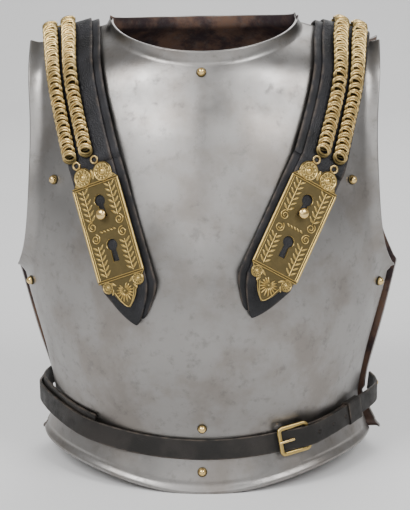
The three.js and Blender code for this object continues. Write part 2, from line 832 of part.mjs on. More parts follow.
// A spray of paired leaves rising beside a keyhole.
function sprayRelief(side, low, high, pairs) {
  return Array.from({ length: pairs }, (_, k) => {
    const y = mix(low, high, (k + 0.5) / pairs);
    const x = side * (11.5 + 2 * Math.sin((Math.PI * (k + 0.5)) / pairs));
    return [
      leaf(x - 2.4, y, 6, 2, 0.6),
      leaf(x + 2.4, y, 6, 2, -0.6),
    ];
  }).flat();
}

function keyholePlateGeometry(route) {
  const { half, top, bottom, wall } = PLATE;
  const parts = [slab(plateOutline(), 0, wall, 3)];
  for (const side of [-1, 1]) {
    const x = side * half;
    const low = bottom + BORDER.inset;
    const border = rectangle(x - BORDER.half, low, x + BORDER.half, top - BORDER.inset);
    parts.push(slab(border, BORDER.low, wall + BORDER.high));
    parts.push(roundelRelief(side * ROUNDEL.across, top + ROUNDEL.rise, ROUNDEL.radius - 0.7));
    const foot = side * FOOT_ROUNDEL.across;
    parts.push(roundelRelief(foot, bottom - FOOT_ROUNDEL.drop, FOOT_ROUNDEL.radius - 0.6));
    parts.push(...sprayRelief(side, ...SPRAYS.upper, SPRAYS.pairs));
    parts.push(...sprayRelief(side, ...SPRAYS.lower, SPRAYS.pairs));
    parts.push(leaf(side * 9, MIDDLE_ROW, 5, 5, 0.8), leaf(side * 17, MIDDLE_ROW, 4.5, 4.5, 0));
  }
  const edge = half - RULES.inset;
  const [inside, outside] = RULES.ends;
  const levels = [top - inside, bottom + inside, top + outside, bottom - outside];
  for (const y of levels) {
    const rule = rectangle(-edge, y - RULES.half, edge, y + RULES.half);
    parts.push(slab(rule, RULES.low, wall + RULES.high));
  }
  parts.push(...palmetteRelief(), leaf(0, MIDDLE_ROW, 7, 9, 0));
  return united(parts)
    .translate(0, 0, BRASS_LEVEL)
    .applyMatrix4(route.frame.matrix);
}

function studGeometry(route) {
  const { neck, head, rise, height } = STUD;
  const foot = -PLANE_LIFT + GAP;
  const rows = [
    [0, foot],
    [neck, foot],
    [neck, rise],
    [head, rise + 0.4],
    [head, rise + height * 0.35],
    [head * 0.7, rise + height * 0.8],
    [0, rise + height],
  ];
  return turned(rows, RIVET.segments).applyMatrix4(route.frame.matrix);
}

// ---------------------------------------------------------------- waist belt

const BELT = { half: 9.6, wall: 2.5, front: 41, rise: 17, reach: 155 };
const BUCKLE = { centre: 83, half: 17, inner: 10.2, bar: 4, low: 5.6, wall: 2.8, corner: 3.5 };
const PRONG = { from: -18, to: -1, half: 1.5, wall: 2 };
const KEEPER = { from: 133, to: 145, wall: 1.2, low: 1.2, overlap: 2 };
const SHORT_BELT = { from: 91, stand: 2.8 };
const LONG_BELT_END = 139;
// Shares of the belt's length at which its end rivets sit.
const BELT_RIVETS = { left: 0.015, right: 0.985 };
const FOLD = { to: -102, raise: 6.5, stand: 0.9, wall: 2.2 };
// How far the long belt stands off the steel: over the folded layer on one side, through the
// buckle and over the short belt on the other.
const LONG_BELT_STAND = [
  { x: -165, stand: 4.8 },
  { x: -104, stand: 4.8 },
  { x: -72, stand: 1 },
  { x: 66, stand: 1 },
  { x: 72, stand: 1.8 },
  { x: 92, stand: 10.4 },
  { x: 99, stand: 10.4 },
  { x: 114, stand: 5.8 },
  { x: 165, stand: 5.8 },
];
const BELT_FRONT = [-138, -110, -75, -38, 0, 38, 75, 110, 138];
const BELT_SIDES = {
  left: [
    { x: -154, y: 26, z: 62, turn: 140 },
    { x: -160, y: 12, z: 60, turn: 172 },
    { x: -159, y: -5, z: 58, turn: 192 },
  ],
  right: [
    { x: 163, y: -5, z: 58, turn: -12 },
    { x: 165, y: 12, z: 60, turn: 8 },
    { x: 160, y: 26, z: 62, turn: 40 },
  ],
};

// The belt's route round the front, its middle raised by an amount.
function beltRoute(raise = 0) {
  const front = BELT_FRONT.map((x) => {
    const z = BELT.front + BELT.rise * (x / BELT.reach) ** 2 + raise;
    const low = breastForm.point(x, z - BELT.half);
    const high = breastForm.point(x, z + BELT.half);
    const along = breastForm.point(x + 1, z).sub(breastForm.point(x - 1, z));
    const normal = along.cross(high.clone().sub(low)).normalize();
    return { point: low.lerp(high, 0.5), normal };
  });
  const aside = ({ x, y, z, turn }) => {
    const angle = THREE.MathUtils.degToRad(turn);
    const normal = new THREE.Vector3(Math.cos(angle), Math.sin(angle), 0);
    return { point: new THREE.Vector3(x, y, z + raise), normal };
  };
  const rows = [...BELT_SIDES.left.map(aside), ...front, ...BELT_SIDES.right.map(aside)];
  const route = makeRoute(rows);
  // Distance along the route at which the front of the belt passes x.
  const distanceAt = (x) => {
    let d = 40;
    while (route.station(d / route.length).point.x < x) d += 0.5;
    return d;
  };
  return { ...route, distanceAt };
}

function longBeltStand(station) {
  const rows = LONG_BELT_STAND;
  const x = station.point.x;
  const i = clamp(rows.findIndex((r) => r.x > x), 1, rows.length - 1);
  const share = clamp((x - rows[i - 1].x) / (rows[i].x - rows[i - 1].x));
  return mix(rows[i - 1].stand, rows[i].stand, share);
}

function beltBand(route, from, to, steps, standOf, wall) {
  return bandBetween(stationsBetween(route, from, to, steps), (station) => {
    const low = standOf(station);
    return flatSection(0, BELT.half, low, low + wall);
  });
}

const buckleFrame = (route) => {
  const { point, normal, along, across } = route.station(
    route.distanceAt(BUCKLE.centre) / route.length,
  );
  return new THREE.Matrix4()
    .makeBasis(along, across.clone().negate(), normal)
    .setPosition(point);
};

function roundedRectangle(halfX, halfY, corner) {
  const shape = new THREE.Shape();
  shape.absarc(halfX - corner, halfY - corner, corner, 0, Math.PI / 2, false);
  shape.absarc(corner - halfX, halfY - corner, corner, Math.PI / 2, Math.PI, false);
  shape.absarc(corner - halfX, corner - halfY, corner, Math.PI, 1.5 * Math.PI, false);
  shape.absarc(halfX - corner, corner - halfY, corner, 1.5 * Math.PI, 2 * Math.PI, false);
  shape.closePath();
  return shape;
}

function buckleGeometry(route) {
  const outer = roundedRectangle(BUCKLE.half, BUCKLE.inner + BUCKLE.bar, BUCKLE.corner);
  const inner = roundedRectangle(BUCKLE.half - BUCKLE.bar, BUCKLE.inner, 1);
  outer.holes.push(inner);
  return slab(outer, BUCKLE.low, BUCKLE.low + BUCKLE.wall, 3).applyMatrix4(buckleFrame(route));
}

function prongGeometry(route) {
  const bar = rectangle(PRONG.from, -PRONG.half, PRONG.to, PRONG.half);
  const low = BUCKLE.low + BUCKLE.wall + GAP;
  return slab(bar, low, low + PRONG.wall).applyMatrix4(buckleFrame(route));
}

// A closed loop of leather round the short belt and the long belt's free end.
function keeperGeometry(route) {
  const top = longBeltStand({ point: { x: KEEPER.from } }) + BELT.wall + GAP;
  const [from, to] = [KEEPER.from, KEEPER.to].map(route.distanceAt);
  const half = BELT.half + GAP;
  const block = bandBetween(stationsBetween(route, from, to, 3), () =>
    flatSection(0, half + KEEPER.wall, KEEPER.low, top + KEEPER.wall),
  );
  const reach = stationsBetween(route, from - KEEPER.overlap, to + KEEPER.overlap, 5);
  const hollow = bandBetween(reach, () =>
    flatSection(0, half, KEEPER.low + KEEPER.wall, top),
  );
  return cutFrom(block, [hollow]);
}

function beltRivet(route, share, stand) {
  const station = route.station(share);
  return standAt(rivetGeometry(), station, stand + GAP);
}

// ---------------------------------------------------------------- the object

const steel = new THREE.MeshStandardMaterial({
  color: 0x8d8a86,
  metalness: 0.95,
  roughness: 0.32,
});
const brass = new THREE.MeshStandardMaterial({
  color: 0x9a7b3c,
  metalness: 0.9,
  roughness: 0.4,
});
const leather = new THREE.MeshStandardMaterial({
  color: 0x24242a,
  metalness: 0,
  roughness: 0.6,
});

const cuirass = new THREE.Group();
function add(name, geometry, material) {
  const mesh = new THREE.Mesh(geometry, material);
  mesh.name = name;
  cuirass.add(mesh);
  return mesh;
}

add("breastplate", plateGeometry(breastForm), steel);
add("backplate", plateGeometry(backForm, leaned), steel);
for (const { name, x, z } of FRONT_RIVETS)
  add(name, standAt(rivetGeometry(), steelPlace(breastForm, x, z), GAP), brass);
for (const { name, x, z } of BACK_RIVETS)
  add(name, standAt(rivetGeometry(), steelPlace(backForm, x, z, leaned), GAP), brass);

for (const strap of STRAPS) {
  const route = strapRoute(strap);
  add("strap_" + strap.side, strapGeometry(strap, route), leather);
  add("strap_backing_" + strap.side, backingGeometry(strap, route), leather);
  chainOffsets(strap).forEach((offset, i) => {
    const place = (i === 0 ? "outer_" : "inner_") + strap.side;
    add("chain_" + place, chainGeometry(route, offset), brass);
    add("chain_ring_" + place, chainRingGeometry(strap, route, offset, i), brass);
  });
  add("chain_bar_" + strap.side, chainBarGeometry(strap, route), brass);
  add("keyhole_plate_" + strap.side, keyholePlateGeometry(route), brass);
  add("stud_" + strap.side, studGeometry(route), brass);
  for (const side of [-1, 1]) {
    const place = side * strap.sign > 0 ? "outer_" : "inner_";
    add("rivet_strap_" + place + strap.side, endRivetGeometry(route, side), brass);
  }
}

const belt = beltRoute();
const foldRoute = beltRoute(FOLD.raise);
const standShort = () => SHORT_BELT.stand;
const standFold = () => FOLD.stand;
const longEnd = belt.distanceAt(LONG_BELT_END);
const shortStart = belt.distanceAt(SHORT_BELT.from);
add("belt_long", beltBand(belt, 0, longEnd, 44, longBeltStand, BELT.wall), leather);
add("belt_short", beltBand(belt, shortStart, belt.length, 14, standShort, BELT.wall), leather);
add(
  "belt_fold",
  beltBand(foldRoute, 0, foldRoute.distanceAt(FOLD.to), 12, standFold, FOLD.wall),
  leather,
);
add("belt_keeper", keeperGeometry(belt), leather);
add("buckle_frame", buckleGeometry(belt), brass);
add("buckle_prong", prongGeometry(belt), brass);
add("rivet_belt_left", beltRivet(belt, BELT_RIVETS.left, LONG_BELT_STAND[0].stand + BELT.wall), brass);
add("rivet_belt_right", beltRivet(belt, BELT_RIVETS.right, SHORT_BELT.stand + BELT.wall), brass);

// The frame's origin is the middle of the box in plan, on the plane the rims stand on.
const bounds = new THREE.Box3().setFromObject(cuirass, true);
const middle = bounds.getCenter(new THREE.Vector3());
cuirass.position.set(-middle.x, -middle.y, -bounds.min.z);

export default cuirass;
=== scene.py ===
"""The looks of a heavy cavalry cuirass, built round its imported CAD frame.

Two polished steel plates with their rolled edges, leather shoulder straps with curb chains and
cast brass keyhole plates, and a buckled waist belt. Sizes are in millimetres in the part's own
drawing frame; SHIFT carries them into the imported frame, and meshes are made in metres.
"""

import math

import bpy
import numpy as np
from mathutils import Matrix, Vector
from mathutils.geometry import tessellate_polygon


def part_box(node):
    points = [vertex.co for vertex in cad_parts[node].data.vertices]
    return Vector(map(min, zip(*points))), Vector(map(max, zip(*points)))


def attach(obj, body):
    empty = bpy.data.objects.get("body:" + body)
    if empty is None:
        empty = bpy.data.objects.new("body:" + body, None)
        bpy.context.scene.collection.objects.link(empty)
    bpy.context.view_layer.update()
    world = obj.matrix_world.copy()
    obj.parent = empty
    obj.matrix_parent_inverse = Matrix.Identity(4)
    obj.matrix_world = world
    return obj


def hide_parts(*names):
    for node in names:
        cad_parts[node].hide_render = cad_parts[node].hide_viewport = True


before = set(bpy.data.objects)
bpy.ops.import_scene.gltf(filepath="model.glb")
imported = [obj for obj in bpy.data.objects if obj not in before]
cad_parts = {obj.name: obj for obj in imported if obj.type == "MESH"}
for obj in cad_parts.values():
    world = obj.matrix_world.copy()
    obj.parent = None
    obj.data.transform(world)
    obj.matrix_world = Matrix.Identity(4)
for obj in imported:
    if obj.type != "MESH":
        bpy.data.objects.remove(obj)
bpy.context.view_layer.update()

bl_info = {
    "name": "Cavalry cuirass",
    "version": (1, 0, 0),
    "blender": (4, 5, 0),
    "location": "View3D > Sidebar > Cuirass",
    "description": "Builds the looks of a steel cuirass round its packed frame",
    "category": "Object",
}

MM = 0.001

# ---------------------------------------------------------------- driving dimensions

NECK = {"half": 87, "tip": 426}
SHOULDER = {"crown": 444, "fall": 20.3, "bend": 60, "level": 409, "tip": 164}
WAIST = {"height": 57, "dip": 9, "half": 150, "fillet": 4}
RIM_RISE = 20
KEEL = {"height": 3, "half": 26, "soften": 0.25, "low": 20, "high": 395, "fade": 60}
SPINE = {"depth": 7, "half": 24, "low": 120, "high": 400, "fade": 90}
ARMPIT = 192
LEAN = {"slope": 0.015, "pivot": 300, "above": 60}

SECTION_COLUMNS = ("height", "ridge", "side", "half", "round", "full")
BREAST_SECTIONS = (
    (57, 123, 10, 151.2, 2.2, 0.55),
    (105, 142, 14, 159.9, 2.2, 0.55),
    (150, 148, 16, 170.8, 2.2, 0.55),
    (200, 146, 12, 181, 2.1, 0.58),
    (250, 138, 2, 184, 2.1, 0.62),
    (300, 124, -8, 184, 2.1, 0.68),
    (345, 109, -10, 184, 2.1, 0.75),
    (376, 97, -8, 186, 2.1, 0.8),
    (401, 84, -5, 188, 2.2, 0.85),
    (410, 75, -4, 190, 2.3, 0.9),
    (426, 46, -2, 192, 2.6, 0.95),
    (444, 2, -1, 194, 2.8, 1),
)
BACK_SECTIONS = (
    (57, 76, 10, 153, 2.4, 0.55),
    (105, 86, 14, 161.8, 2.4, 0.55),
    (150, 99, 16, 172.8, 2.4, 0.55),
    (200, 116, 12, 182.5, 2.4, 0.58),
    (250, 129, 2, 184, 2.4, 0.62),
    (300, 135, -8, 184, 2.4, 0.68),
    (345, 130, -10, 184, 2.4, 0.75),
    (376, 115, -8, 186, 2.4, 0.8),
    (401, 95, -5, 188, 2.4, 0.85),
    (420, 72, -4, 190, 2.5, 0.9),
    (432, 42, -2, 192, 2.6, 0.95),
    (444, 2, -1, 194, 2.8, 1),
)
SIDE_EDGE = ((0, 150), (57, 150), (120, 163), (175, 176), (192, 179.5))
ARM_EDGE = ((192, 178), (210, 170), (235, 164), (280, 160), (330, 158.5), (375, 161), (406, 164))

GAP = 0.35


# ---------------------------------------------------------------- curves


def natural_spline(knots, values):
    """Natural cubic spline through (knot, value) rows, as a function that reads arrays."""
    k = np.asarray(knots, float)
    v = np.asarray(values, float)
    h = np.diff(k)
    last = len(k) - 1
    system = np.eye(last + 1)
    load = np.zeros(last + 1)
    for i in range(1, last):
        system[i, i - 1 : i + 2] = h[i - 1], 2 * (h[i - 1] + h[i]), h[i]
        load[i] = 6 * ((v[i + 1] - v[i]) / h[i] - (v[i] - v[i - 1]) / h[i - 1])
    bend = np.linalg.solve(system, load)

    def at(height):
        z = np.clip(height, k[0], k[-1])
        i = np.clip(np.searchsorted(k, z) - 1, 0, last - 1)
        a = k[i + 1] - z
        b = z - k[i]
        return (
            (bend[i] * a**3 + bend[i + 1] * b**3) / (6 * h[i])
            + (v[i] / h[i] - bend[i] * h[i] / 6) * a
            + (v[i + 1] / h[i] - bend[i + 1] * h[i] / 6) * b
        )

    return at


def mix(a, b, t):
    return a + (b - a) * t


def clamp(t):
    return np.clip(t, 0.0, 1.0)


def smooth_step(t):
    t = clamp(t)
    return t * t * (3 - 2 * t)


def softplus(t, width):
    return width * np.logaddexp(0, t / width)


def unit(v):
    return v / np.maximum(np.linalg.norm(v, axis=-1, keepdims=True), 1e-9)


side_edge = natural_spline(*zip(*SIDE_EDGE))
arm_edge = natural_spline(*zip(*ARM_EDGE))


def edge_half(z):
    """Half width of a plate's edge: the side below the armpit, the arm opening above it."""
    return mix(side_edge(z), arm_edge(z), smooth_step((z - ARMPIT + 2) / 4))


def shoulder_drop(x):
    return SHOULDER["fall"] * (np.sqrt(1 + (x / SHOULDER["bend"]) ** 2) - 1)


def waist_height(x):
    return WAIST["height"] - WAIST["dip"] * (1 - np.minimum(1, (x / WAIST["half"]) ** 2))


def shoulder_height(x):
    """Height of the shoulder line over x: where the lifted height reaches the crown."""
    z = SHOULDER["crown"] - shoulder_drop(x)
    for _ in range(6):
        z = SHOULDER["crown"] - shoulder_drop(x) * (z / SHOULDER["level"]) ** 2
    return z


def fade_band(z, low, high, fade):
    return clamp((z - low) / fade) * clamp((high - z) / fade)


# ---------------------------------------------------------------- the two plates' forms


def keel_relief(x, z):
    """The breastplate's soft medial ridge."""
    fall = KEEL["soften"] - np.hypot(x / KEEL["half"], KEEL["soften"])
    return KEEL["height"] * np.exp(fall) * fade_band(z, KEEL["low"], KEEL["high"], KEEL["fade"])


def spine_relief(x, z):
    """The backplate's hollow down the spine."""
    band = fade_band(z, SPINE["low"], SPINE["high"], SPINE["fade"])
    return -SPINE["depth"] * np.exp(-((x / SPINE["half"]) ** 2)) * band


def stay(points):
    return points


def leaned(points):
    """The backplate's slight askew hang: height goes a little sideways and width a little up."""
    x, y, z = np.moveaxis(points, -1, 0)
    share = clamp(z / LEAN["above"])
    return np.stack(
        [x + (LEAN["pivot"] - z) * LEAN["slope"], y, z + x * LEAN["slope"] * share], axis=-1
    )


class PlateForm:
    """One plate's outer surface, from its table of cross-sections."""

    def __init__(self, facing, sections, dip, flare, wall, edge_out, rim, relief, lip, place):
        heights = [row[0] for row in sections]
        self.column = {
            name: natural_spline(heights, [row[i] for row in sections])
            for i, name in enumerate(SECTION_COLUMNS)
            if i
        }
        self.facing, self.dip, self.flare, self.wall = facing, dip, flare, wall
        self.edge_out, self.rim, self.relief, self.lip, self.place = (
            edge_out,
            rim,
            relief,
            lip,
            place,
        )

    def depth(self, x, z):
        """Depth falls from the ridge to the side as (1 - s^round)^full at a lifted height."""
        lifted = z + shoulder_drop(x) * (z / SHOULDER["level"]) ** 2
        h = WAIST["height"] + softplus(lifted - WAIST["height"], WAIST["fillet"])
        side = self.column["side"](h)
        s = np.minimum(np.abs(x) / self.column["half"](h), 0.9999)
        swell = (1 - s ** self.column["round"](h)) ** self.column["full"](h)
        return -side + (self.column["ridge"](h) + side) * swell + self.relief(x, z)

    def point(self, x, z):
        """The bare form, pushed outwards in plan below the waist by the flare."""
        x, z = np.broadcast_arrays(np.asarray(x, float), np.asarray(z, float))
        low = waist_height(x)
        out = self.flare * softplus(low - z, WAIST["fillet"]) / (low - self.rim(x))
        y = self.facing * self.depth(x, z)
        k = 1 + out / np.hypot(x, y)
        return np.stack([x * k, y * k, z], axis=-1)

    def steel_place(self, x, z):
        """A point of the placed surface and its outward normal."""
        step = 0.5
        at = lambda dx, dz: self.place(self.point(x + dx, z + dz))
        right = at(step, 0) - at(-step, 0)
        up = at(0, step) - at(0, -step)
        normal = unit(np.cross(right, up))
        if normal[1] * self.facing < 0:
            normal = -normal
        return at(0, 0), normal


breast_form = PlateForm(
    facing=-1,
    sections=BREAST_SECTIONS,
    dip=23,
    flare=13,
    wall=2.5,
    edge_out=0,
    rim=lambda x: RIM_RISE * np.sin(np.pi / 2 * clamp(np.abs(x) / WAIST["half"])) ** 2,
    relief=keel_relief,
    lip={"collar": (8.5, 8), "arm": (12, 6.5), "side_reach": 10, "side_high": 0, "side_low": 0},
    place=stay,
)
back_form = PlateForm(
    facing=1,
    sections=BACK_SECTIONS,
    dip=8,
    flare=19,
    wall=1.8,
    edge_out=1,
    rim=lambda x: RIM_RISE * clamp((np.abs(x) - 100) / 50) ** 2,
    relief=spine_relief,
    lip={"collar": (8.5, 8), "arm": (12, 6.5), "side_reach": 10, "side_high": 7, "side_low": 3},
    place=leaned,
)


# The drawing frame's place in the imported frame, read from the rivet on the breastplate's rim.
RIM_RIVET = {"x": 0, "z": 20, "height": 5.1}


def packed_shift():
    point, normal = breast_form.steel_place(RIM_RIVET["x"], RIM_RIVET["z"])
    tip = point + normal * (GAP + RIM_RIVET["height"])
    low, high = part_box("rivet_rim")
    return np.array([(low.x + high.x) / 2 / MM, low.y / MM - tip[1], 0.0])


SHIFT = packed_shift()


# ---------------------------------------------------------------- meshes


def grid_quads(rows, cols, wrap=False, start=0):
    """Quads over a grid of points stored row by row; wrap joins the last column to the first."""
    i = np.arange(rows - 1)[:, None]
    j = np.arange(cols if wrap else cols - 1)[None, :]
    k = (j + 1) % cols
    quads = np.stack([i * cols + j, i * cols + k, (i + 1) * cols + k, (i + 1) * cols + j], -1)
    return quads.reshape(-1, 4) + start


class Shell:
    """Gathers surfaces into one mesh, with a tone for each point and a material for each face."""

    def __init__(self):
        self.points, self.tones, self.uvs = [], [], []
        self.faces, self.slots = [], []
        self.count = 0

    def add(self, points, faces, tone=1.0, slot=0, uv=None, flip=False):
        points = np.asarray(points, float).reshape(-1, 3)
        faces = np.asarray(faces) + self.count
        if flip:
            faces = faces[:, ::-1]
        self.points.append(points)
        self.tones.append(np.broadcast_to(np.asarray(tone, float).ravel(), (len(points),)))
        self.uvs.append(np.zeros((len(points), 2)) if uv is None else np.reshape(uv, (-1, 2)))
        self.faces.append(faces)
        self.slots.append(np.full(len(faces), slot))
        self.count += len(points)

    def add_grid(self, points, wrap=False, **settings):
        rows, cols = points.shape[:2]
        self.add(points, grid_quads(rows, cols, wrap), **settings)

    def piece(self, name, materials, replaces, slot):
        points = (np.concatenate(self.points) + SHIFT) * MM
        totals = np.concatenate([np.full(len(f), f.shape[1]) for f in self.faces])
        loops = np.concatenate([f.ravel() for f in self.faces])
        mesh = bpy.data.meshes.new(name)
        mesh.vertices.add(len(points))
        mesh.vertices.foreach_set("co", points.ravel())
        mesh.loops.add(len(loops))
        mesh.loops.foreach_set("vertex_index", loops.astype(np.int32))
        mesh.polygons.add(len(totals))
        starts = np.concatenate([[0], np.cumsum(totals)[:-1]])
        mesh.polygons.foreach_set("loop_start", starts.astype(np.int32))
        mesh.update(calc_edges=True)
        mesh.polygons.foreach_set("use_smooth", np.ones(len(totals), bool))
        mesh.polygons.foreach_set(
            "material_index", np.concatenate(self.slots).astype(np.int32)
        )
        tone = mesh.attributes.new("tone", "FLOAT", "POINT")
        tone.data.foreach_set("value", np.concatenate(self.tones).astype(np.float32))
        uv_map = mesh.uv_layers.new(name="UVMap")
        uv_map.data.foreach_set("uv", np.concatenate(self.uvs)[loops].ravel())
        for material in materials:
            mesh.materials.append(material)
        if mesh.validate():
            raise RuntimeError(name + " has faces that Blender had to repair")
        piece = bpy.data.objects.new(name, mesh)
        bpy.context.scene.collection.objects.link(piece)
        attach(piece, "root")
        if replaces:
            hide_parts(*replaces)
        return piece


def sweep(shell, centres, across, out, profile, closed=False, caps=True, **settings):
    """Carries a closed profile of (across, out) pairs along a path.

    Point = centre + across x first + out x second; flat ends close an open path.
    """
    profile = np.asarray(profile, float)
    if profile.ndim == 2:
        profile = np.broadcast_to(profile, (len(centres),) + profile.shape)
    points = (
        centres[:, None, :]
        + across[:, None, :] * profile[..., 0:1]
        + out[:, None, :] * profile[..., 1:2]
    )
    rows, cols = points.shape[:2]
    quads = grid_quads(rows + (1 if closed else 0), cols, wrap=True)
    quads %= rows * cols
    along = np.cross(across[0], out[0])
    path = centres[1] - centres[0]
    flip = np.dot(along, path) < 0
    turn = polygon_area(profile[0]) < 0
    shell.add(points, quads, flip=bool(flip) ^ bool(turn), **settings)
    if caps and not closed:
        for row, ahead in ((0, False), (rows - 1, True)):
            ring = points[row]
            fan = np.stack([np.zeros(cols), np.arange(1, cols + 1)], -1).astype(int)
            fan = np.column_stack([fan, np.roll(fan[:, 1], -1)])
            tone = settings.get("tone", 1.0)
            if np.ndim(tone) > 1:
                tone = np.concatenate([[tone[row].mean()], tone[row]])
            elif np.ndim(tone) == 1:
                tone = float(np.mean(tone))
            shell.add(
                np.concatenate([[ring.mean(0)], ring]),
                fan,
                tone=tone,
                slot=settings.get("slot", 0),
                flip=(bool(flip) ^ bool(turn)) ^ (not ahead),
            )
    return points


def polygon_area(profile):
    x, y = profile[:, 0], profile[:, 1]
    return 0.5 * float(np.sum(x * np.roll(y, -1) - y * np.roll(x, -1)))


def rounded_profile(half, low, high, radius, flat_steps=1, corner_steps=4):
    """A rectangle with round corners, anticlockwise, its long sides split into equal steps."""
    turns = np.linspace(0, np.pi / 2, corner_steps + 1)
    corners = []
    middles = ((half - radius, high - radius), (radius - half, high - radius))
    middles += ((radius - half, low + radius), (half - radius, low + radius))
    for i, (cx, cy) in enumerate(middles):
        a = turns + i * np.pi / 2
        corners.append(np.stack([cx + radius * np.cos(a), cy + radius * np.sin(a)], -1))
    rows = []
    for i, corner in enumerate(corners):
        rows.append(corner)
        if i in (0, 2) and flat_steps > 1:
            share = np.arange(1, flat_steps)[:, None] / flat_steps
            rows.append(mix(corner[-1], corners[(i + 1) % 4][0], share))
    return np.concatenate(rows)


def lathe(rows, segments):
    """Points of a solid of revolution about the third axis, from (radius, height) rows."""
    rows = np.asarray(rows, float)
    turn = np.arange(segments) * 2 * np.pi / segments
    return np.stack(
        [
            rows[:, None, 0] * np.cos(turn),
            rows[:, None, 0] * np.sin(turn),
            np.broadcast_to(rows[:, None, 1], (len(rows), segments)),
        ],
        axis=-1,
    )


def basis_at(point, normal, up=(0, 0, 1)):
    """A frame whose third axis is the normal: columns across, up, out, and its place."""
    out = unit(np.asarray(normal, float))
    across = np.cross(np.asarray(up, float), out)
    if np.linalg.norm(across) < 1e-3:
        across = np.cross((0.0, 1.0, 0.0), out)
    across = unit(across)
    return np.stack([across, np.cross(out, across), out]), np.asarray(point, float)


def placed(local, basis):
    axes, origin = basis
    return np.asarray(local) @ axes + origin


# ---------------------------------------------------------------- steel plates

NECK_COLUMN = 0.5
GRID = {"neck": 64, "shoulder": 46, "flange": 22, "body": 150, "crowding": 1.5}
RIM_BEAD = {"groove": 8.0, "groove_width": 1.1, "groove_depth": 0.7, "bead": 4.5, "height": 0.9}
SIDE_LINE = {"at": 5.0, "width": 1.6, "depth": 0.5}
EDGE_ROUND = (30, 60, 90, 120, 150)


def column_shares():
    inner = np.linspace(0, NECK_COLUMN, GRID["neck"] + 1)
    step = np.arange(1, GRID["shoulder"] + 1) / GRID["shoulder"]
    outer = mix(1, NECK_COLUMN, (1 - step) ** GRID["crowding"])
    half = np.concatenate([inner, outer])
    return np.concatenate([-half[:0:-1], half])


def bare_grid(form):
    """Rows of points from the rim to the neck and shoulders; columns run along +X."""
    c = column_shares()
    a = np.abs(c)
    turn = np.pi / 2 * np.minimum(a / NECK_COLUMN, 1)
    past = clamp((a - NECK_COLUMN) / (1 - NECK_COLUMN))
    on_neck = a <= NECK_COLUMN
    top_x = np.where(on_neck, NECK["half"] * np.sin(turn), mix(NECK["half"], SHOULDER["tip"], past))
    top_z = np.where(on_neck, NECK["tip"] - form.dip * np.cos(turn), shoulder_height(top_x))
    smooth_top = mix(NECK["tip"] - form.dip, SHOULDER["level"], 0.6)
    rows = []
    for f in (np.arange(GRID["flange"]) / GRID["flange"]) ** 1.2:
        x = c * (WAIST["half"] + form.edge_out)
        rows.append(form.point(x, mix(form.rim(x), waist_height(x), f)))
    steps = np.linspace(0, 1, GRID["body"] + 1)
    for v in mix(steps, np.sin(np.pi / 2 * steps), 0.7):
        side_z = mix(WAIST["height"], top_z[0], v)
        half = edge_half(side_z) + form.edge_out * (1 - v)
        low = waist_height(c * WAIST["half"])
        even = mix(low, mix(smooth_top, top_z[0], c * c), v)
        z = mix(even, mix(low, top_z, v), v**4)
        share = mix(a, top_x / SHOULDER["tip"], v * v)
        rows.append(form.point(np.sign(c) * half * share, z))
    return np.stack(rows)


def grid_normals(grid, facing):
    across = np.gradient(grid, axis=1)
    up = np.gradient(grid, axis=0)
    return unit(np.cross(across, up)) * -facing


def distance_to_line(points, line):
    """Distance from each point to a polyline, its nearest segment taken."""
    flat = points.reshape(-1, 3)
    best = np.full(len(flat), np.inf)
    for a, b in zip(line[:-1], line[1:]):
        run = b - a
        t = clamp((flat - a) @ run / max(float(run @ run), 1e-9))
        best = np.minimum(best, np.linalg.norm(flat - a - t[:, None] * run, axis=1))
    return best.reshape(points.shape[:-1])


def turn_edges(grid, form):
    """Turns the edges outwards by height x (1 - distance / reach)^2, and rolls the rim."""
    normals = grid_normals(grid, form.facing)
    shares = column_shares()
    neck = grid[-1][np.abs(shares) <= NECK_COLUMN]
    body = grid[GRID["flange"] :]
    curl = lambda d, reach, height: height * clamp(1 - d / reach) ** 2
    near = []
    for column in (0, -1):
        edge = body[:, column]
        split = int(np.argmax(edge[:, 2] >= ARMPIT))
        whole = np.concatenate([grid[: GRID["flange"], column], edge[:split]])
        near.append((distance_to_line(grid, edge[split:]), distance_to_line(grid, whole)))
    arm = np.minimum(near[0][0], near[1][0])
    side = np.minimum(near[0][1], near[1][1])
    rise = clamp((grid[..., 2] - WAIST["height"]) / (ARMPIT - WAIST["height"]))
    side_height = mix(form.lip["side_low"], form.lip["side_high"], rise)
    above = grid[..., 2] > WAIST["height"]
    push = curl(distance_to_line(grid, neck), *form.lip["collar"])
    push += np.maximum(
        curl(arm, *form.lip["arm"]),
        np.where(above, curl(side, form.lip["side_reach"], 1.0) * side_height, 0),
    )
    rim = distance_to_line(grid, grid[0])
    groove = np.exp(-(((rim - RIM_BEAD["groove"]) / RIM_BEAD["groove_width"]) ** 2))
    roll = np.sqrt(clamp(1 - ((rim - RIM_BEAD["bead"] / 2) / (RIM_BEAD["bead"] / 2)) ** 2))
    push += RIM_BEAD["height"] * roll - RIM_BEAD["groove_depth"] * groove
    if form.facing < 0:
        line = np.exp(-(((side - SIDE_LINE["at"]) / SIDE_LINE["width"]) ** 2))
        push -= SIDE_LINE["depth"] * line * above
    return grid + normals * push[..., None]


def rounded_border(shell, outer, inner, away, slot):
    """Half-round strip that closes a plate's edge between its outer and inner border rows."""
    middle = (outer + inner) / 2
    arm = (outer - inner) / 2
    reach = np.linalg.norm(arm, axis=-1, keepdims=True) * 0.8
    rows = [outer]
    for degrees in EDGE_ROUND:
        t = math.radians(degrees)
        rows.append(middle + arm * math.cos(t) + away * reach * math.sin(t))
    rows.append(inner)
    shell.add_grid(np.stack(rows), tone=1.0, slot=slot)


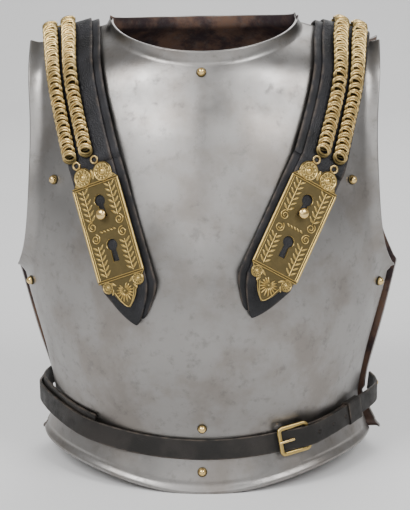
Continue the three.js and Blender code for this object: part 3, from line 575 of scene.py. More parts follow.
def plate_shell(form):
    outer = form.place(turn_edges(bare_grid(form), form))
    normals = grid_normals(outer, form.facing)
    inner = outer - normals * form.wall
    inner[0, :, 2] = outer[0, :, 2]
    arm_distance = distance_to_line(outer, outer[-1])
    shell = Shell()
    edge_wear = clamp(1 - arm_distance / 12)
    shell.add_grid(outer, tone=edge_wear, slot=0, flip=form.facing > 0)
    shell.add_grid(inner, tone=0.0, slot=1, flip=form.facing < 0)
    borders = (
        (outer[0], inner[0], unit(outer[0] - outer[1])),
        (outer[-1][::-1], inner[-1][::-1], unit(outer[-1] - outer[-2])[::-1]),
        (outer[::-1, 0], inner[::-1, 0], unit(outer[:, 0] - outer[:, 1])[::-1]),
        (outer[:, -1], inner[:, -1], unit(outer[:, -1] - outer[:, -2])),
    )
    for border in borders:
        if form.facing > 0:
            border = tuple(part[::-1] for part in border)
        rounded_border(shell, *border, slot=0)
    return shell


# ---------------------------------------------------------------- routes and straps

STRAP = {"half": 23, "wall": 2.2, "tongue": 36, "start": -107}
BACKING = {"half": 23, "wall": 2.2, "inward": 7, "tongue": 30, "start": -103}
PLATE = {"half": 24.5, "top": 29, "bottom": -59, "wall": 1.7}
ROUNDEL = {"across": 10.5, "rise": 8.5, "radius": 8.6}
FOOT_ROUNDEL = {"across": 16, "drop": 6.5, "radius": 5.8}
PALMETTE = {"drop": 13, "radius": 11, "tip": 29.5}
KEYHOLE = {"radius": 5.3, "slot_half": 2.7, "slot": 15.5}
KEYHOLE_TOPS = (13, -29)
CHAIN = {"half": 7.4, "thick": 3.4, "start": 56, "spread": 18, "past_crest": 9}
CHAIN_RING = {"radius": 3.3, "wire": 1, "along": 50.4}
STUD = {"neck": 2.1, "head": 4.9, "rise": 9.2, "height": 5.4}
PLANE_LIFT = 1
PLANE_ORIGIN = -24
PLANE_STOPS = (-70, -60, -30, 0, 30, 46, 54)
STRAP_LOW = BACKING["wall"] + 2 * GAP
STRAP_TOP = STRAP_LOW + STRAP["wall"]
BRASS_LEVEL = STRAP_TOP + GAP
STRAP_END = 8
END_RIVET = {"inset": 9, "across": 12, "scale": 0.8}

STRAPS = (
    {
        "side": "left",
        "sign": -1,
        "stud": (86, 265),
        "tilt": 17,
        "front": ((110.5, 352, 3.2), (117.5, 381, 3), (124.5, 406, 3.2)),
        "crest": (128, 4.8),
        "chains": -8,
    },
    {
        "side": "right",
        "sign": 1,
        "stud": (89, 266),
        "tilt": 26,
        "front": ((120, 350, 3.2), (126.5, 378, 3), (131, 404, 3.2)),
        "crest": (133, 4.6),
        "chains": -3,
    },
)
STRAP_BACK = ((130, 404, 3.2), (128, 380, 2.6), (124, 352, 2))


class Route:
    """A Catmull-Rom curve through points, with normals carried along it."""

    SAMPLES = 60

    def __init__(self, points, normals):
        self.points = np.asarray(points, float)
        self.normals = np.asarray(normals, float)
        t = np.linspace(0, len(points) - 1, self.SAMPLES * (len(points) - 1) + 1)
        line = self.curve(self.points, t)
        steps = np.linalg.norm(np.diff(line, axis=0), axis=1)
        self.t = t
        self.run = np.concatenate([[0], np.cumsum(steps)])
        self.length = float(self.run[-1])
        self.line = line

    @staticmethod
    def curve(rows, t):
        """Uniform Catmull-Rom: cubic Hermite spans with half the chord of the neighbours."""
        ends = np.concatenate([[2 * rows[0] - rows[1]], rows, [2 * rows[-1] - rows[-2]]])
        i = np.clip(np.floor(t).astype(int), 0, len(rows) - 2)
        u = (t - i)[:, None]
        p0, p1, p2, p3 = (ends[i + k] for k in range(4))
        m1 = (p2 - p0) / 2
        m2 = (p3 - p1) / 2
        return (
            (2 * u**3 - 3 * u**2 + 1) * p1
            + (u**3 - 2 * u**2 + u) * m1
            + (3 * u**2 - 2 * u**3) * p2
            + (u**3 - u**2) * m2
        )

    def at(self, distance):
        """Points, outward normals, and directions along and across, at distances."""
        d = np.atleast_1d(np.asarray(distance, float))
        t = np.interp(d, self.run, self.t)
        small = 0.01
        last = self.t[-1]
        ahead = self.curve(self.points, np.minimum(t + small, last))
        behind = self.curve(self.points, np.maximum(t - small, 0))
        along = unit(ahead - behind)
        normal = self.curve(self.normals, t)
        normal = unit(normal - along * np.sum(normal * along, axis=1, keepdims=True))
        return self.curve(self.points, t), normal, along, np.cross(along, normal)


def plate_frame(strap):
    """The flat plane that a brass plate lies in: rows across, up, out, and its origin."""
    tilt = math.radians(strap["tilt"])
    lean = np.array([strap["sign"] * math.sin(tilt), 0, math.cos(tilt)])
    x = strap["sign"] * strap["stud"][0] + lean[0] * PLANE_ORIGIN
    z = strap["stud"][1] + lean[2] * PLANE_ORIGIN
    point, normal = breast_form.steel_place(x, z)
    up = lean.copy()
    up[1] = -float(lean @ normal) / normal[1]
    up = unit(up)
    zero = point - up * PLANE_ORIGIN + normal * PLANE_LIFT
    return np.stack([np.cross(up, normal), up, normal]), zero


def strap_route(strap):
    axes, zero = plate_frame(strap)
    points, normals = [], []

    def add(place, lift):
        points.append(place[0] + place[1] * lift)
        normals.append(place[1])

    for b in (STRAP["start"], mix(STRAP["start"], PLANE_STOPS[0], 0.5)):
        p = zero + axes[1] * b
        add(breast_form.steel_place(p[0], p[2]), PLANE_LIFT)
    for b in PLANE_STOPS:
        add((zero + axes[1] * b, axes[2]), 0)
    for x, z, lift in strap["front"]:
        add(breast_form.steel_place(strap["sign"] * x, z), lift)
    x = strap["sign"] * strap["crest"][0]
    slope = (shoulder_height(x + 1) - shoulder_height(x - 1)) / 2
    add((np.array([x, 0, shoulder_height(x)]), unit(np.array([-slope, 0, 1]))), strap["crest"][1])
    for x, z, lift in STRAP_BACK:
        add(back_form.steel_place(strap["sign"] * x, z), lift)
    route = Route(points, normals)
    route.frame = (axes, zero)
    route.crest = float(np.interp(0, route.line[:, 1], route.run))
    return route


def along_at(b):
    """Distance along a strap's route of a place b on its plate's axis."""
    return b - STRAP["start"]


def tongue_half(d, length, half):
    """A tongue narrows to its tip as (distance / length)^0.7."""
    return np.maximum(0.3, half * clamp(d / length) ** 0.7)


def leather_band(shell, route, distances, half, low, wall, centre=0.0, radius=0.9, holes=()):
    """A strip of leather with round edges laid along a route; holes are (distance, radius)."""
    points, normal, _, across = route.at(distances)
    steps = 30
    shape = rounded_profile(1.0, 0.0, 1.0, 0.0, steps, 0)
    base = rounded_profile(20.0, 0.0, wall, min(radius, wall * 0.45), steps, 4)
    half = np.broadcast_to(half, (len(distances),))
    low = np.broadcast_to(low, (len(distances),))
    del shape
    edge = 20.0 - np.abs(base[:, 0])
    sign = np.sign(base[:, 0])
    ratio = half[:, None] / 20.0
    inner = sign * np.maximum(half[:, None] - edge, 0)
    profile_x = np.where(edge < 1.0, inner, base[None, :, 0] * ratio)
    profile_y = np.broadcast_to(base[None, :, 1], profile_x.shape) + low[:, None]
    tone = np.broadcast_to(clamp(edge / 3.0), profile_x.shape).copy()
    on_top = base[None, :, 1] > wall * 0.9
    for place, size in holes:
        apart = np.hypot(np.asarray(distances)[:, None] - place, profile_x)
        sunk = smooth_step((size + 0.35 - apart) / 0.7) * on_top
        profile_y = profile_y - sunk * wall * 0.8
        rim = np.exp(-(((apart - size - 0.7) / 0.6) ** 2)) * on_top
        profile_y = profile_y + rim * 0.15
        tone = np.minimum(tone, 1 - sunk)
    profile = np.stack([profile_x + centre, profile_y], -1)
    uv = np.stack(
        [
            np.broadcast_to(np.asarray(distances)[:, None] * MM, profile_x.shape),
            profile_x * MM,
        ],
        -1,
    )
    sweep(shell, points, across, normal, profile, tone=tone, uv=uv)


def leather_distances(route, start, tongue, step):
    """Stations close together in the tongue and evenly spaced after it."""
    near = start + tongue * np.linspace(0, 1, 36) ** 2
    far = np.arange(start + tongue + step, route.length - STRAP_END, step)
    return np.concatenate([near, far, [route.length - STRAP_END]])


# ---------------------------------------------------------------- chains

LINK = {
    "pitch": 6.0,
    "half_long": 4.6,
    "wire": 1.3,
    "pair": 1.15,
    "tilt": 28,
    "lift": 2.4,
    "yaw": 0.3,
}
LINK_STEPS = (28, 8)


def link_points():
    """One link: two oval wire rings side by side, as a grid round the ring and the wire."""
    turn = np.arange(LINK_STEPS[0]) * 2 * np.pi / LINK_STEPS[0]
    wire = np.arange(LINK_STEPS[1]) * 2 * np.pi / LINK_STEPS[1]
    half_wide = CHAIN["half"] - LINK["wire"]
    grids = []
    for side in (-1, 1):
        middle = np.stack(
            [
                half_wide * np.cos(turn),
                LINK["half_long"] * np.sin(turn) + side * LINK["pair"],
                0 * turn,
            ],
            -1,
        )
        outward = unit(np.stack([np.cos(turn) / half_wide, np.sin(turn) / LINK["half_long"], 0 * turn], -1))
        up = np.array([0, 0, 1.0])
        grids.append(
            middle[:, None]
            + LINK["wire"]
            * (np.cos(wire)[None, :, None] * outward[:, None] + np.sin(wire)[None, :, None] * up)
        )
    return grids


def torus_quads(rows, cols):
    return grid_quads(rows + 1, cols, wrap=True) % (rows * cols)


def chain_shell(route, offset):
    """Links at an even pitch, each tipped about the chain's width so that it lies on the last."""
    start = along_at(CHAIN["start"]) + 2
    end = route.crest + CHAIN["past_crest"] - 2
    count = int((end - start) / LINK["pitch"]) + 1
    distances = start + np.arange(count) * (end - start) / (count - 1)
    points, normal, along, across = route.at(distances)
    lift = BRASS_LEVEL + LINK["wire"] + LINK["lift"]
    tilt = math.radians(LINK["tilt"])
    shell = Shell()
    quads = torus_quads(*LINK_STEPS)
    for grid in link_points():
        u, v, w = np.moveaxis(grid, -1, 0)
        for i in range(count):
            sway = 1.0 if i % 2 else -1.0
            yaw = LINK["yaw"] * sway
            x = u * math.cos(yaw) - v * math.sin(yaw)
            y0 = u * math.sin(yaw) + v * math.cos(yaw)
            y = y0 * math.cos(tilt) - w * math.sin(tilt)
            z = y0 * math.sin(tilt) + w * math.cos(tilt)
            place = (
                points[i]
                + across[i] * (offset + x)[..., None]
                + along[i] * y[..., None]
                + normal[i] * (lift + z)[..., None]
            )
            # Tone rises with height over the strap: a painted highlight on each link's raised end and wire
            # tops, painted shade on the end tucked under the last link.
            shell.add(place, quads, tone=clamp(0.35 + z / 4), flip=True)
    return shell


def ring_shell(basis, centre, radius, wire):
    turn = np.arange(40) * 2 * np.pi / 40
    around = np.arange(12) * 2 * np.pi / 12
    reach = radius + wire * np.cos(around)
    local = np.stack(
        [
            centre[0] + reach[None, :] * np.cos(turn)[:, None],
            centre[1] + reach[None, :] * np.sin(turn)[:, None],
            np.broadcast_to(centre[2] + wire * np.sin(around), (40, 12)),
        ],
        -1,
    )
    shell = Shell()
    shell.add(placed(local, basis), torus_quads(40, 12), tone=0.8, flip=True)
    return shell


# ---------------------------------------------------------------- keyhole plates

PANEL_RELIEF = {"border": 1.5, "border_height": 1.1, "line": 0.55}
SPRAYS = {"upper": (26.5, -4.5), "lower": (-27, -56.5), "x": 14.2, "pairs": 6}
SCROLLS = ((14.4, -8.5), (14.4, -20))
SCROLL = {"radius": 4.6, "inner": 1.2, "turns": 1.6, "wire": 0.62}
PETALS = {"count": 15, "spread": 300, "inner": 2.4, "outer": 9.2, "width": 1.9, "height": 1.1}


def keyhole_outline(top, grow=0.0, steps=14):
    """A round hole over a slot that widens a little to a square end, anticlockwise."""
    r = KEYHOLE["radius"] + grow
    s = KEYHOLE["slot_half"] + grow
    meet = math.asin(s / r)
    turn = np.linspace(-np.pi / 2 + meet, 1.5 * np.pi - meet, steps * 2)
    circle = np.stack([r * np.cos(turn), top + r * np.sin(turn)], -1)
    foot = top - KEYHOLE["slot"] - grow
    return np.concatenate([circle, [[-s - 0.5, foot], [s + 0.5, foot]]])


def plate_outline():
    """The brass plate's edge: two roundels on top, the panel, two below and a pointed shield."""
    half, top, bottom = PLATE["half"], PLATE["top"], PLATE["bottom"]

    def arc(cx, cy, r, a, b, steps=12):
        t = np.radians(np.linspace(a, b, steps))
        return np.stack([cx + r * np.cos(t), cy + r * np.sin(t)], -1)

    ry = top + ROUNDEL["rise"]
    fy = bottom - FOOT_ROUNDEL["drop"]
    py = bottom - PALMETTE["drop"]
    t = np.linspace(0, 1, 8)[:, None]
    tip = np.array([[0, bottom - PALMETTE["tip"]]])
    right = np.array([[PALMETTE["radius"], py - 3]])
    bulge = np.array([[PALMETTE["radius"] * 0.8, bottom - PALMETTE["tip"] + 7]])
    shield = (1 - t) ** 2 * tip + 2 * t * (1 - t) * bulge + t**2 * right
    mirror = np.array([[-1, 1]])
    foot = arc(FOOT_ROUNDEL["across"], fy, FOOT_ROUNDEL["radius"], -112, 27)
    head = arc(ROUNDEL["across"], ry, ROUNDEL["radius"] + 1.0, -20, 148, 18)
    rows = [shield, foot, [[half, bottom]], [[half, top]], head]
    right_side = np.concatenate([np.asarray(r, float) for r in rows])
    return np.concatenate([right_side, right_side[::-1] * mirror])


def slab_with_holes(shell, basis, outline, holes, low, high, bevel=0.45):
    """A flat slab cut through: top and bottom faces, walls and a small bevel on the top edge."""
    loops = [outline] + [h[::-1] for h in holes]

    def inset(loop, amount):
        before = unit(loop - np.roll(loop, 1, 0))
        after = unit(np.roll(loop, -1, 0) - loop)
        normal = unit(np.stack([-(before + after)[:, 1], (before + after)[:, 0]], -1))
        return loop + normal * amount

    tops = [inset(loop, bevel) for loop in loops]
    flat = np.concatenate(tops)
    vectors = [[Vector((x, y, 0)) for x, y in loop] for loop in tops]
    triangles = np.array(tessellate_polygon(vectors))
    a, b, c = (flat[triangles[:, k]] for k in range(3))
    turned_over = ((b - a)[:, 0] * (c - a)[:, 1] - (b - a)[:, 1] * (c - a)[:, 0]) < 0
    triangles[turned_over] = triangles[turned_over][:, ::-1]
    lift = lambda rows, z: placed(np.column_stack([rows, np.full(len(rows), z)]), basis)
    shell.add(lift(flat, high), triangles, tone=0.12)
    shell.add(lift(np.concatenate(loops), low), triangles, tone=0.1, flip=True)
    for loop, top in zip(loops, tops):
        rows = np.stack([lift(loop, low), lift(loop, high - bevel), lift(top, high)])
        tone = np.repeat([[0.1], [0.6], [0.6]], len(loop), axis=1)
        shell.add(rows, grid_quads(3, len(loop), wrap=True), tone=tone)


def relief_leaf(shell, basis, x, y, length, width, turn, height, base, rib=0.35):
    """A leaf: width and height follow a sine along it, with a groove down its middle."""
    s = np.linspace(0, 1, 11)[:, None]
    t = np.linspace(-1, 1, 9)[None, :]
    half = width / 2 * np.sin(np.pi * s**0.85) ** 0.8
    u = t * half
    v = (s - 0.5) * length + 0 * t
    bow = np.sin(np.pi * s**0.85) ** 0.6
    w = height * bow * (1 - t**2) ** 0.7 - rib * height * bow * np.exp(-((t / 0.22) ** 2))
    c, d = math.cos(turn), math.sin(turn)
    local = np.stack([x + u * c - v * d, y + u * d + v * c, base + w - 0.1], -1)
    shell.add_grid(placed(local, basis), tone=clamp(0.25 + w / height))


def relief_bar(shell, basis, path, half, height, base, steps=7):
    """A half-round moulding along a flat path of (x, y) points."""
    path = np.asarray(path, float)
    ahead = unit(np.gradient(path, axis=0))
    side = np.stack([ahead[:, 1], -ahead[:, 0]], -1)
    t = np.linspace(-1, 1, steps)
    u = path[:, None, :] + side[:, None, :] * (t * half)[None, :, None]
    w = np.broadcast_to(height * np.sqrt(np.maximum(1 - t**2, 0)), u.shape[:2])
    local = np.concatenate([u, (base + w)[..., None]], -1)
    shell.add_grid(placed(local, basis), tone=clamp(0.2 + w / height), flip=True)


def relief_roundel(shell, basis, x, y, radius, base, petals):
    """Concentric rings about a boss, with petals scalloped into the middle ring."""
    r = np.linspace(0, 1, 26)[:, None]
    turn = (np.arange(64) * 2 * np.pi / 64)[None, :]
    boss = 1.7 * np.sqrt(np.maximum(1 - (r / 0.34) ** 2, 0))
    ring = 0.9 * np.exp(-(((r - 0.45) / 0.06) ** 2)) + 1.2 * np.exp(-(((r - 0.93) / 0.07) ** 2))
    scallop = 0.55 * np.exp(-(((r - 0.7) / 0.15) ** 2)) * (0.6 + 0.4 * np.cos(petals * turn))
    w = (boss + ring + scallop + 0 * turn) * radius / 8 * np.where(r > 0.999, 0.0, 1.0)
    local = np.stack(
        [x + r * radius * np.cos(turn), y + r * radius * np.sin(turn), base + w - 0.05], -1
    )
    shell.add_grid(placed(local, basis), wrap=True, tone=clamp(0.15 + w))


def relief_spray(shell, basis, side, high, low, base):
    """A laurel branch beside a keyhole: paired leaves rising from a thin stem."""
    stem = np.stack([np.full(12, side * SPRAYS["x"]), np.linspace(low, high, 12)], -1)
    relief_bar(shell, basis, stem, 0.4, 0.5, base, 5)
    pairs = SPRAYS["pairs"]
    for k in range(pairs):
        y = mix(low + 2, high - 3, k / (pairs - 1))
        for lean in (-1, 1):
            relief_leaf(
                shell,
                basis,
                side * SPRAYS["x"] + lean * 3.2,
                y + 1.6,
                7.2,
                2.3,
                -lean * 0.85,
                0.95,
                base,
            )


def relief_scroll(shell, basis, x, y, spin, base):
    turn = np.linspace(0, SCROLL["turns"] * 2 * np.pi, 46)
    r = mix(SCROLL["radius"], SCROLL["inner"], turn / turn[-1])
    path = np.stack([x + r * np.cos(spin * turn + 1.2), y + r * np.sin(spin * turn + 1.2)], -1)
    relief_bar(shell, basis, path, SCROLL["wire"], 0.8, base, 6)


def relief_palmette(shell, basis, base):
    """A fan of petals round a small boss inside the pointed shield."""
    cy = PLATE["bottom"] - PALMETTE["drop"] - 0.5
    for k in range(PETALS["count"]):
        a = math.radians(mix(-0.5, 0.5, k / (PETALS["count"] - 1)) * PETALS["spread"])
        longer = 1.0 + 0.18 * math.cos(a)
        reach = (PETALS["inner"] + PETALS["outer"] * longer) / 2
        relief_leaf(
            shell,
            basis,
            math.sin(a) * reach,
            cy - math.cos(a) * reach,
            PETALS["outer"] * longer - PETALS["inner"],
            PETALS["width"],
            a + math.pi,
            PETALS["height"],
            base,
            0.2,
        )
    relief_roundel(shell, basis, 0, cy, 2.6, base + 0.1, 6)


def keyhole_plate_shell(strap, route):
    basis = route.frame
    half, top, bottom, wall = PLATE["half"], PLATE["top"], PLATE["bottom"], PLATE["wall"]
    low = BRASS_LEVEL
    base = BRASS_LEVEL + wall
    shell = Shell()
    holes = [keyhole_outline(t) for t in KEYHOLE_TOPS]
    slab_with_holes(shell, basis, plate_outline(), holes, low, base)
    for side in (-1, 1):
        x = side * (half - PANEL_RELIEF["border"] / 2)
        column = lambda at: [[at, mix(bottom + 0.6, top - 0.6, k / 20)] for k in range(21)]
        relief_bar(shell, basis, column(x), 1.0, PANEL_RELIEF["border_height"], base)
        relief_bar(shell, basis, column(x - side * 2.2), 0.35, 0.45, base, 5)
        relief_roundel(
            shell, basis, side * ROUNDEL["across"], top + ROUNDEL["rise"], ROUNDEL["radius"], base, 12
        )
        relief_roundel(
            shell,
            basis,
            side * FOOT_ROUNDEL["across"],
            bottom - FOOT_ROUNDEL["drop"],
            FOOT_ROUNDEL["radius"] - 0.6,
            base,
            10,
        )
        relief_spray(shell, basis, side, *SPRAYS["upper"], base)
        relief_spray(shell, basis, side, *SPRAYS["lower"], base)
        for i, (x, y) in enumerate(SCROLLS):
            relief_scroll(shell, basis, side * x, y, side if i else -side, base)
            relief_roundel(shell, basis, side * x, y, 1.3, base + 0.1, 5)
        for k in range(3):
            relief_leaf(shell, basis, side * (18.5 - 2 * k), top + 5 - 1.5 * k, 7, 2.2, side * (0.5 + 0.5 * k), 0.9, base)
        relief_leaf(shell, basis, side * 9.5, bottom - 5.2, 7, 2.6, side * 2.2, 0.9, base)
        relief_leaf(shell, basis, side * 12, bottom - 12, 6, 2.2, side * 0.5, 0.8, base)
    for y in (top - 0.9, top + 1.1, bottom + 0.9, bottom - 1.1):
        row = [[mix(-half + 0.4, half - 0.4, k / 16), y] for k in range(17)]
        relief_bar(shell, basis, row, PANEL_RELIEF["line"], 0.9, base, 6)
    relief_leaf(shell, basis, 0, top + 9, 10, 4, 0, 1.0, base)
    for k in range(5):
        relief_leaf(shell, basis, mix(-7, 7, k / 4), -15.2, 4.2, 2.0, 1.0, 1.0, base, 0.1)
    shield = []
    for t in np.linspace(-1, 1, 33):
        drop = PALMETTE["tip"] - 1.2 - (PALMETTE["tip"] - 14) * abs(t) ** 1.7
        shield.append([t * (PALMETTE["radius"] - 0.7), bottom - drop])
    relief_bar(shell, basis, shield, 0.6, 0.9, base, 6)
    relief_palmette(shell, basis, base)
    return shell


# ---------------------------------------------------------------- rivets and studs

RIVET = {"radius": 4.6, "height": 4.2, "collar": 0.9}


def dome_rows(radius, height, collar, steps=12):
    t = np.linspace(0, np.pi / 2, steps)
    dome = [[radius * 0.86 * math.cos(a), collar + height * math.sin(a)] for a in t]
    return [[0.01, 0], [radius, 0], [radius, collar * 0.7], [radius * 0.97, collar]] + dome


def dome_shell(point, normal, scale=1.0):
    rows = np.array(dome_rows(RIVET["radius"], RIVET["height"], RIVET["collar"])) * scale
    local = lathe(rows, 40)
    tone = np.repeat(clamp((rows[:, 1:2] / scale - 0.9) / 1.5), 40, axis=1)
    shell = Shell()
    shell.add_grid(placed(local, basis_at(point + normal * GAP, normal)), wrap=True, tone=tone)
    return shell


def stud_shell(route):
    neck, head, rise, height = STUD["neck"], STUD["head"], STUD["rise"], STUD["height"]
    t = np.linspace(-0.9, np.pi / 2, 16)
    ball = [[head * math.cos(a), rise + head * 0.55 + (height - head * 0.55) * math.sin(a)] for a in t]
    foot = -PLANE_LIFT + GAP
    rows = [[0.01, foot], [neck * 1.5, foot], [neck, foot + 1.5], [neck, rise]] + ball
    shell = Shell()
    shell.add_grid(placed(lathe(rows, 40), route.frame), wrap=True, tone=1.0)
    return shell


FRONT_RIVETS = {
    "rivet_neck": (0, 390.5),
    "rivet_chest_left": (-139, 288),
    "rivet_chest_right": (139, 288),
    "rivet_side_left": (-167.5, 182),
    "rivet_side_right": (167.5, 182),
    "rivet_waist": (0, 62),
    "rivet_rim": (0, 20),
}
BACK_RIVETS = {"rivet_back_neck": (0, 405), "rivet_back_waist": (0, 74)}


# ---------------------------------------------------------------- waist belt

BELT = {"half": 9.6, "wall": 2.5, "front": 41, "rise": 17, "reach": 155}
BUCKLE = {"centre": 83, "half": 17, "inner": 10.2, "bar": 4, "low": 5.6, "wall": 2.8, "corner": 3.5}
PRONG = {"from": -18, "to": -1, "half": 1.5, "wall": 2}
KEEPER = {"from": 133, "to": 145, "wall": 1.2, "low": 1.2}
SHORT_BELT = {"from": 91, "stand": 2.8}
LONG_BELT_END = 139
FOLD = {"to": -102, "raise": 6.5, "stand": 0.9, "wall": 2.2}
LONG_BELT_STAND = (
    (-165, 4.8),
    (-104, 4.8),
    (-72, 1),
    (66, 1),
    (72, 1.8),
    (92, 10.4),
    (99, 10.4),
    (114, 5.8),
    (165, 5.8),
)
BELT_FRONT = (-138, -110, -75, -38, 0, 38, 75, 110, 138)
BELT_LEFT = ((-154, 26, 62, 140), (-160, 12, 60, 172), (-159, -5, 58, 192))
BELT_RIGHT = ((163, -5, 58, -12), (165, 12, 60, 8), (160, 26, 62, 40))
BELT_HOLES = (103.5, 118, 130)
BELT_HOLE_RADIUS = 1.7


def belt_route(raised=0.0):
    """The belt's way round the front, its middle raised by an amount."""
    points, normals = [], []

    def aside(x, y, z, turn):
        points.append([x, y, z + raised])
        normals.append([math.cos(math.radians(turn)), math.sin(math.radians(turn)), 0])

    for row in BELT_LEFT:
        aside(*row)
    for x in BELT_FRONT:
        z = BELT["front"] + BELT["rise"] * (x / BELT["reach"]) ** 2 + raised
        low = breast_form.point(x, z - BELT["half"])
        high = breast_form.point(x, z + BELT["half"])
        along = breast_form.point(x + 1, z) - breast_form.point(x - 1, z)
        points.append((low + high) / 2)
        normals.append(unit(np.cross(along, high - low)))
    for row in BELT_RIGHT:
        aside(*row)
    return Route(points, normals)


def distance_at(route, x):
    """Distance along the belt's route at which its front passes x."""
    front = route.run > 40
    return float(np.interp(x, route.line[front, 0], route.run[front]))


def long_belt_stand(route, distances):
    x = route.at(distances)[0][:, 0]
    rows = np.array(LONG_BELT_STAND, float)
    fine = np.linspace(rows[0, 0], rows[-1, 0], 600)
    stand = np.interp(fine, rows[:, 0], rows[:, 1])
    kernel = np.hanning(11)
    padded = np.pad(stand, 5, mode="edge")
    return np.interp(x, fine, np.convolve(padded, kernel / kernel.sum(), mode="valid"))


def buckle_basis(route):
    point, normal, along, across = route.at(distance_at(route, BUCKLE["centre"]))
    return np.stack([along[0], -across[0], normal[0]]), point[0]


def rounded_rectangle(half_x, half_y, corner, steps=8):
    return rounded_profile(half_x, -half_y, half_y, corner, 6, steps)


def buckle_shell(route):
    """A cast frame: an oval bar carried round a rectangle with round corners."""
    half = BUCKLE["half"] - BUCKLE["bar"] / 2
    tall = BUCKLE["inner"] + BUCKLE["bar"] / 2
    path = rounded_rectangle(half, tall, BUCKLE["corner"])
    axes, origin = buckle_basis(route)
    ahead = unit(np.roll(path, -1, 0) - np.roll(path, 1, 0))
    side = np.stack([ahead[:, 1], -ahead[:, 0], 0 * ahead[:, 0]], -1)
    middle = BUCKLE["low"] + BUCKLE["wall"] / 2
    centres = placed(np.column_stack([path, np.full(len(path), middle)]), (axes, origin))
    turn = np.arange(14) * 2 * np.pi / 14
    square = lambda v: np.sign(v) * np.abs(v) ** 0.7
    profile = np.stack(
        [BUCKLE["bar"] / 2 * square(np.cos(turn)), BUCKLE["wall"] / 2 * square(np.sin(turn))], -1
    )
    shell = Shell()
    out = np.broadcast_to(axes[2], centres.shape)
    # Tone follows which way the bar faces: a painted highlight on its outer face, painted shade on its
    # sides and underside.
    tone = np.broadcast_to(clamp(0.4 + np.sin(turn)), (len(path), 14))
    sweep(shell, centres, side @ axes, out, profile, closed=True, tone=tone)
    return shell


def prong_shell(route):
    basis = buckle_basis(route)
    low = BUCKLE["low"] + BUCKLE["wall"] + GAP
    x = np.linspace(PRONG["from"], PRONG["to"], 20)
    drop = np.linspace(0, 1, 20) ** 2
    local = np.stack([x, 0 * x, low + PRONG["wall"] / 2 - 0.8 * drop], -1)
    turn = np.arange(12) * 2 * np.pi / 12
    swell = mix(0.75, 1.0, np.linspace(0, 1, 20))[:, None]
    profile = np.stack(
        [PRONG["half"] * swell * np.cos(turn), PRONG["wall"] / 2 * swell * np.sin(turn)], -1
    )
    shell = Shell()
    count = len(x)
    across = np.broadcast_to(basis[0][1], (count, 3))
    out = np.broadcast_to(basis[0][2], (count, 3))
    sweep(shell, placed(local, basis), across, out, profile, tone=0.8)
    return shell


def keeper_shell(route):
    """A leather loop: a thin strip carried round the belts' cross-section."""
    start, end = (distance_at(route, KEEPER[k]) for k in ("from", "to"))
    middle = (start + end) / 2
    point, normal, along, across = (rows[0] for rows in route.at(middle))
    top = float(long_belt_stand(route, [middle])[0]) + BELT["wall"] + GAP + KEEPER["wall"] / 2
    low = KEEPER["low"] + KEEPER["wall"] / 2
    half = BELT["half"] + GAP + KEEPER["wall"] / 2
    loop = rounded_profile(half, low, top, 1.6, 8, 6)
    ahead = unit(np.roll(loop, -1, 0) - np.roll(loop, 1, 0))
    outward = np.stack([ahead[:, 1], -ahead[:, 0]], -1)
    centres = point + loop[:, :1] * across + loop[:, 1:] * normal
    out = outward[:, :1] * across + outward[:, 1:] * normal
    side = np.broadcast_to(along, centres.shape)
    strip = rounded_profile((end - start) / 2, -KEEPER["wall"] / 2, KEEPER["wall"] / 2, 0.5, 6, 3)
    shell = Shell()
    tone = np.broadcast_to(clamp(((end - start) / 2 - np.abs(strip[:, 0])) / 2), (len(loop), len(strip)))
    sweep(shell, centres, side, out, strip, closed=True, tone=tone)
    return shell


# ---------------------------------------------------------------- materials


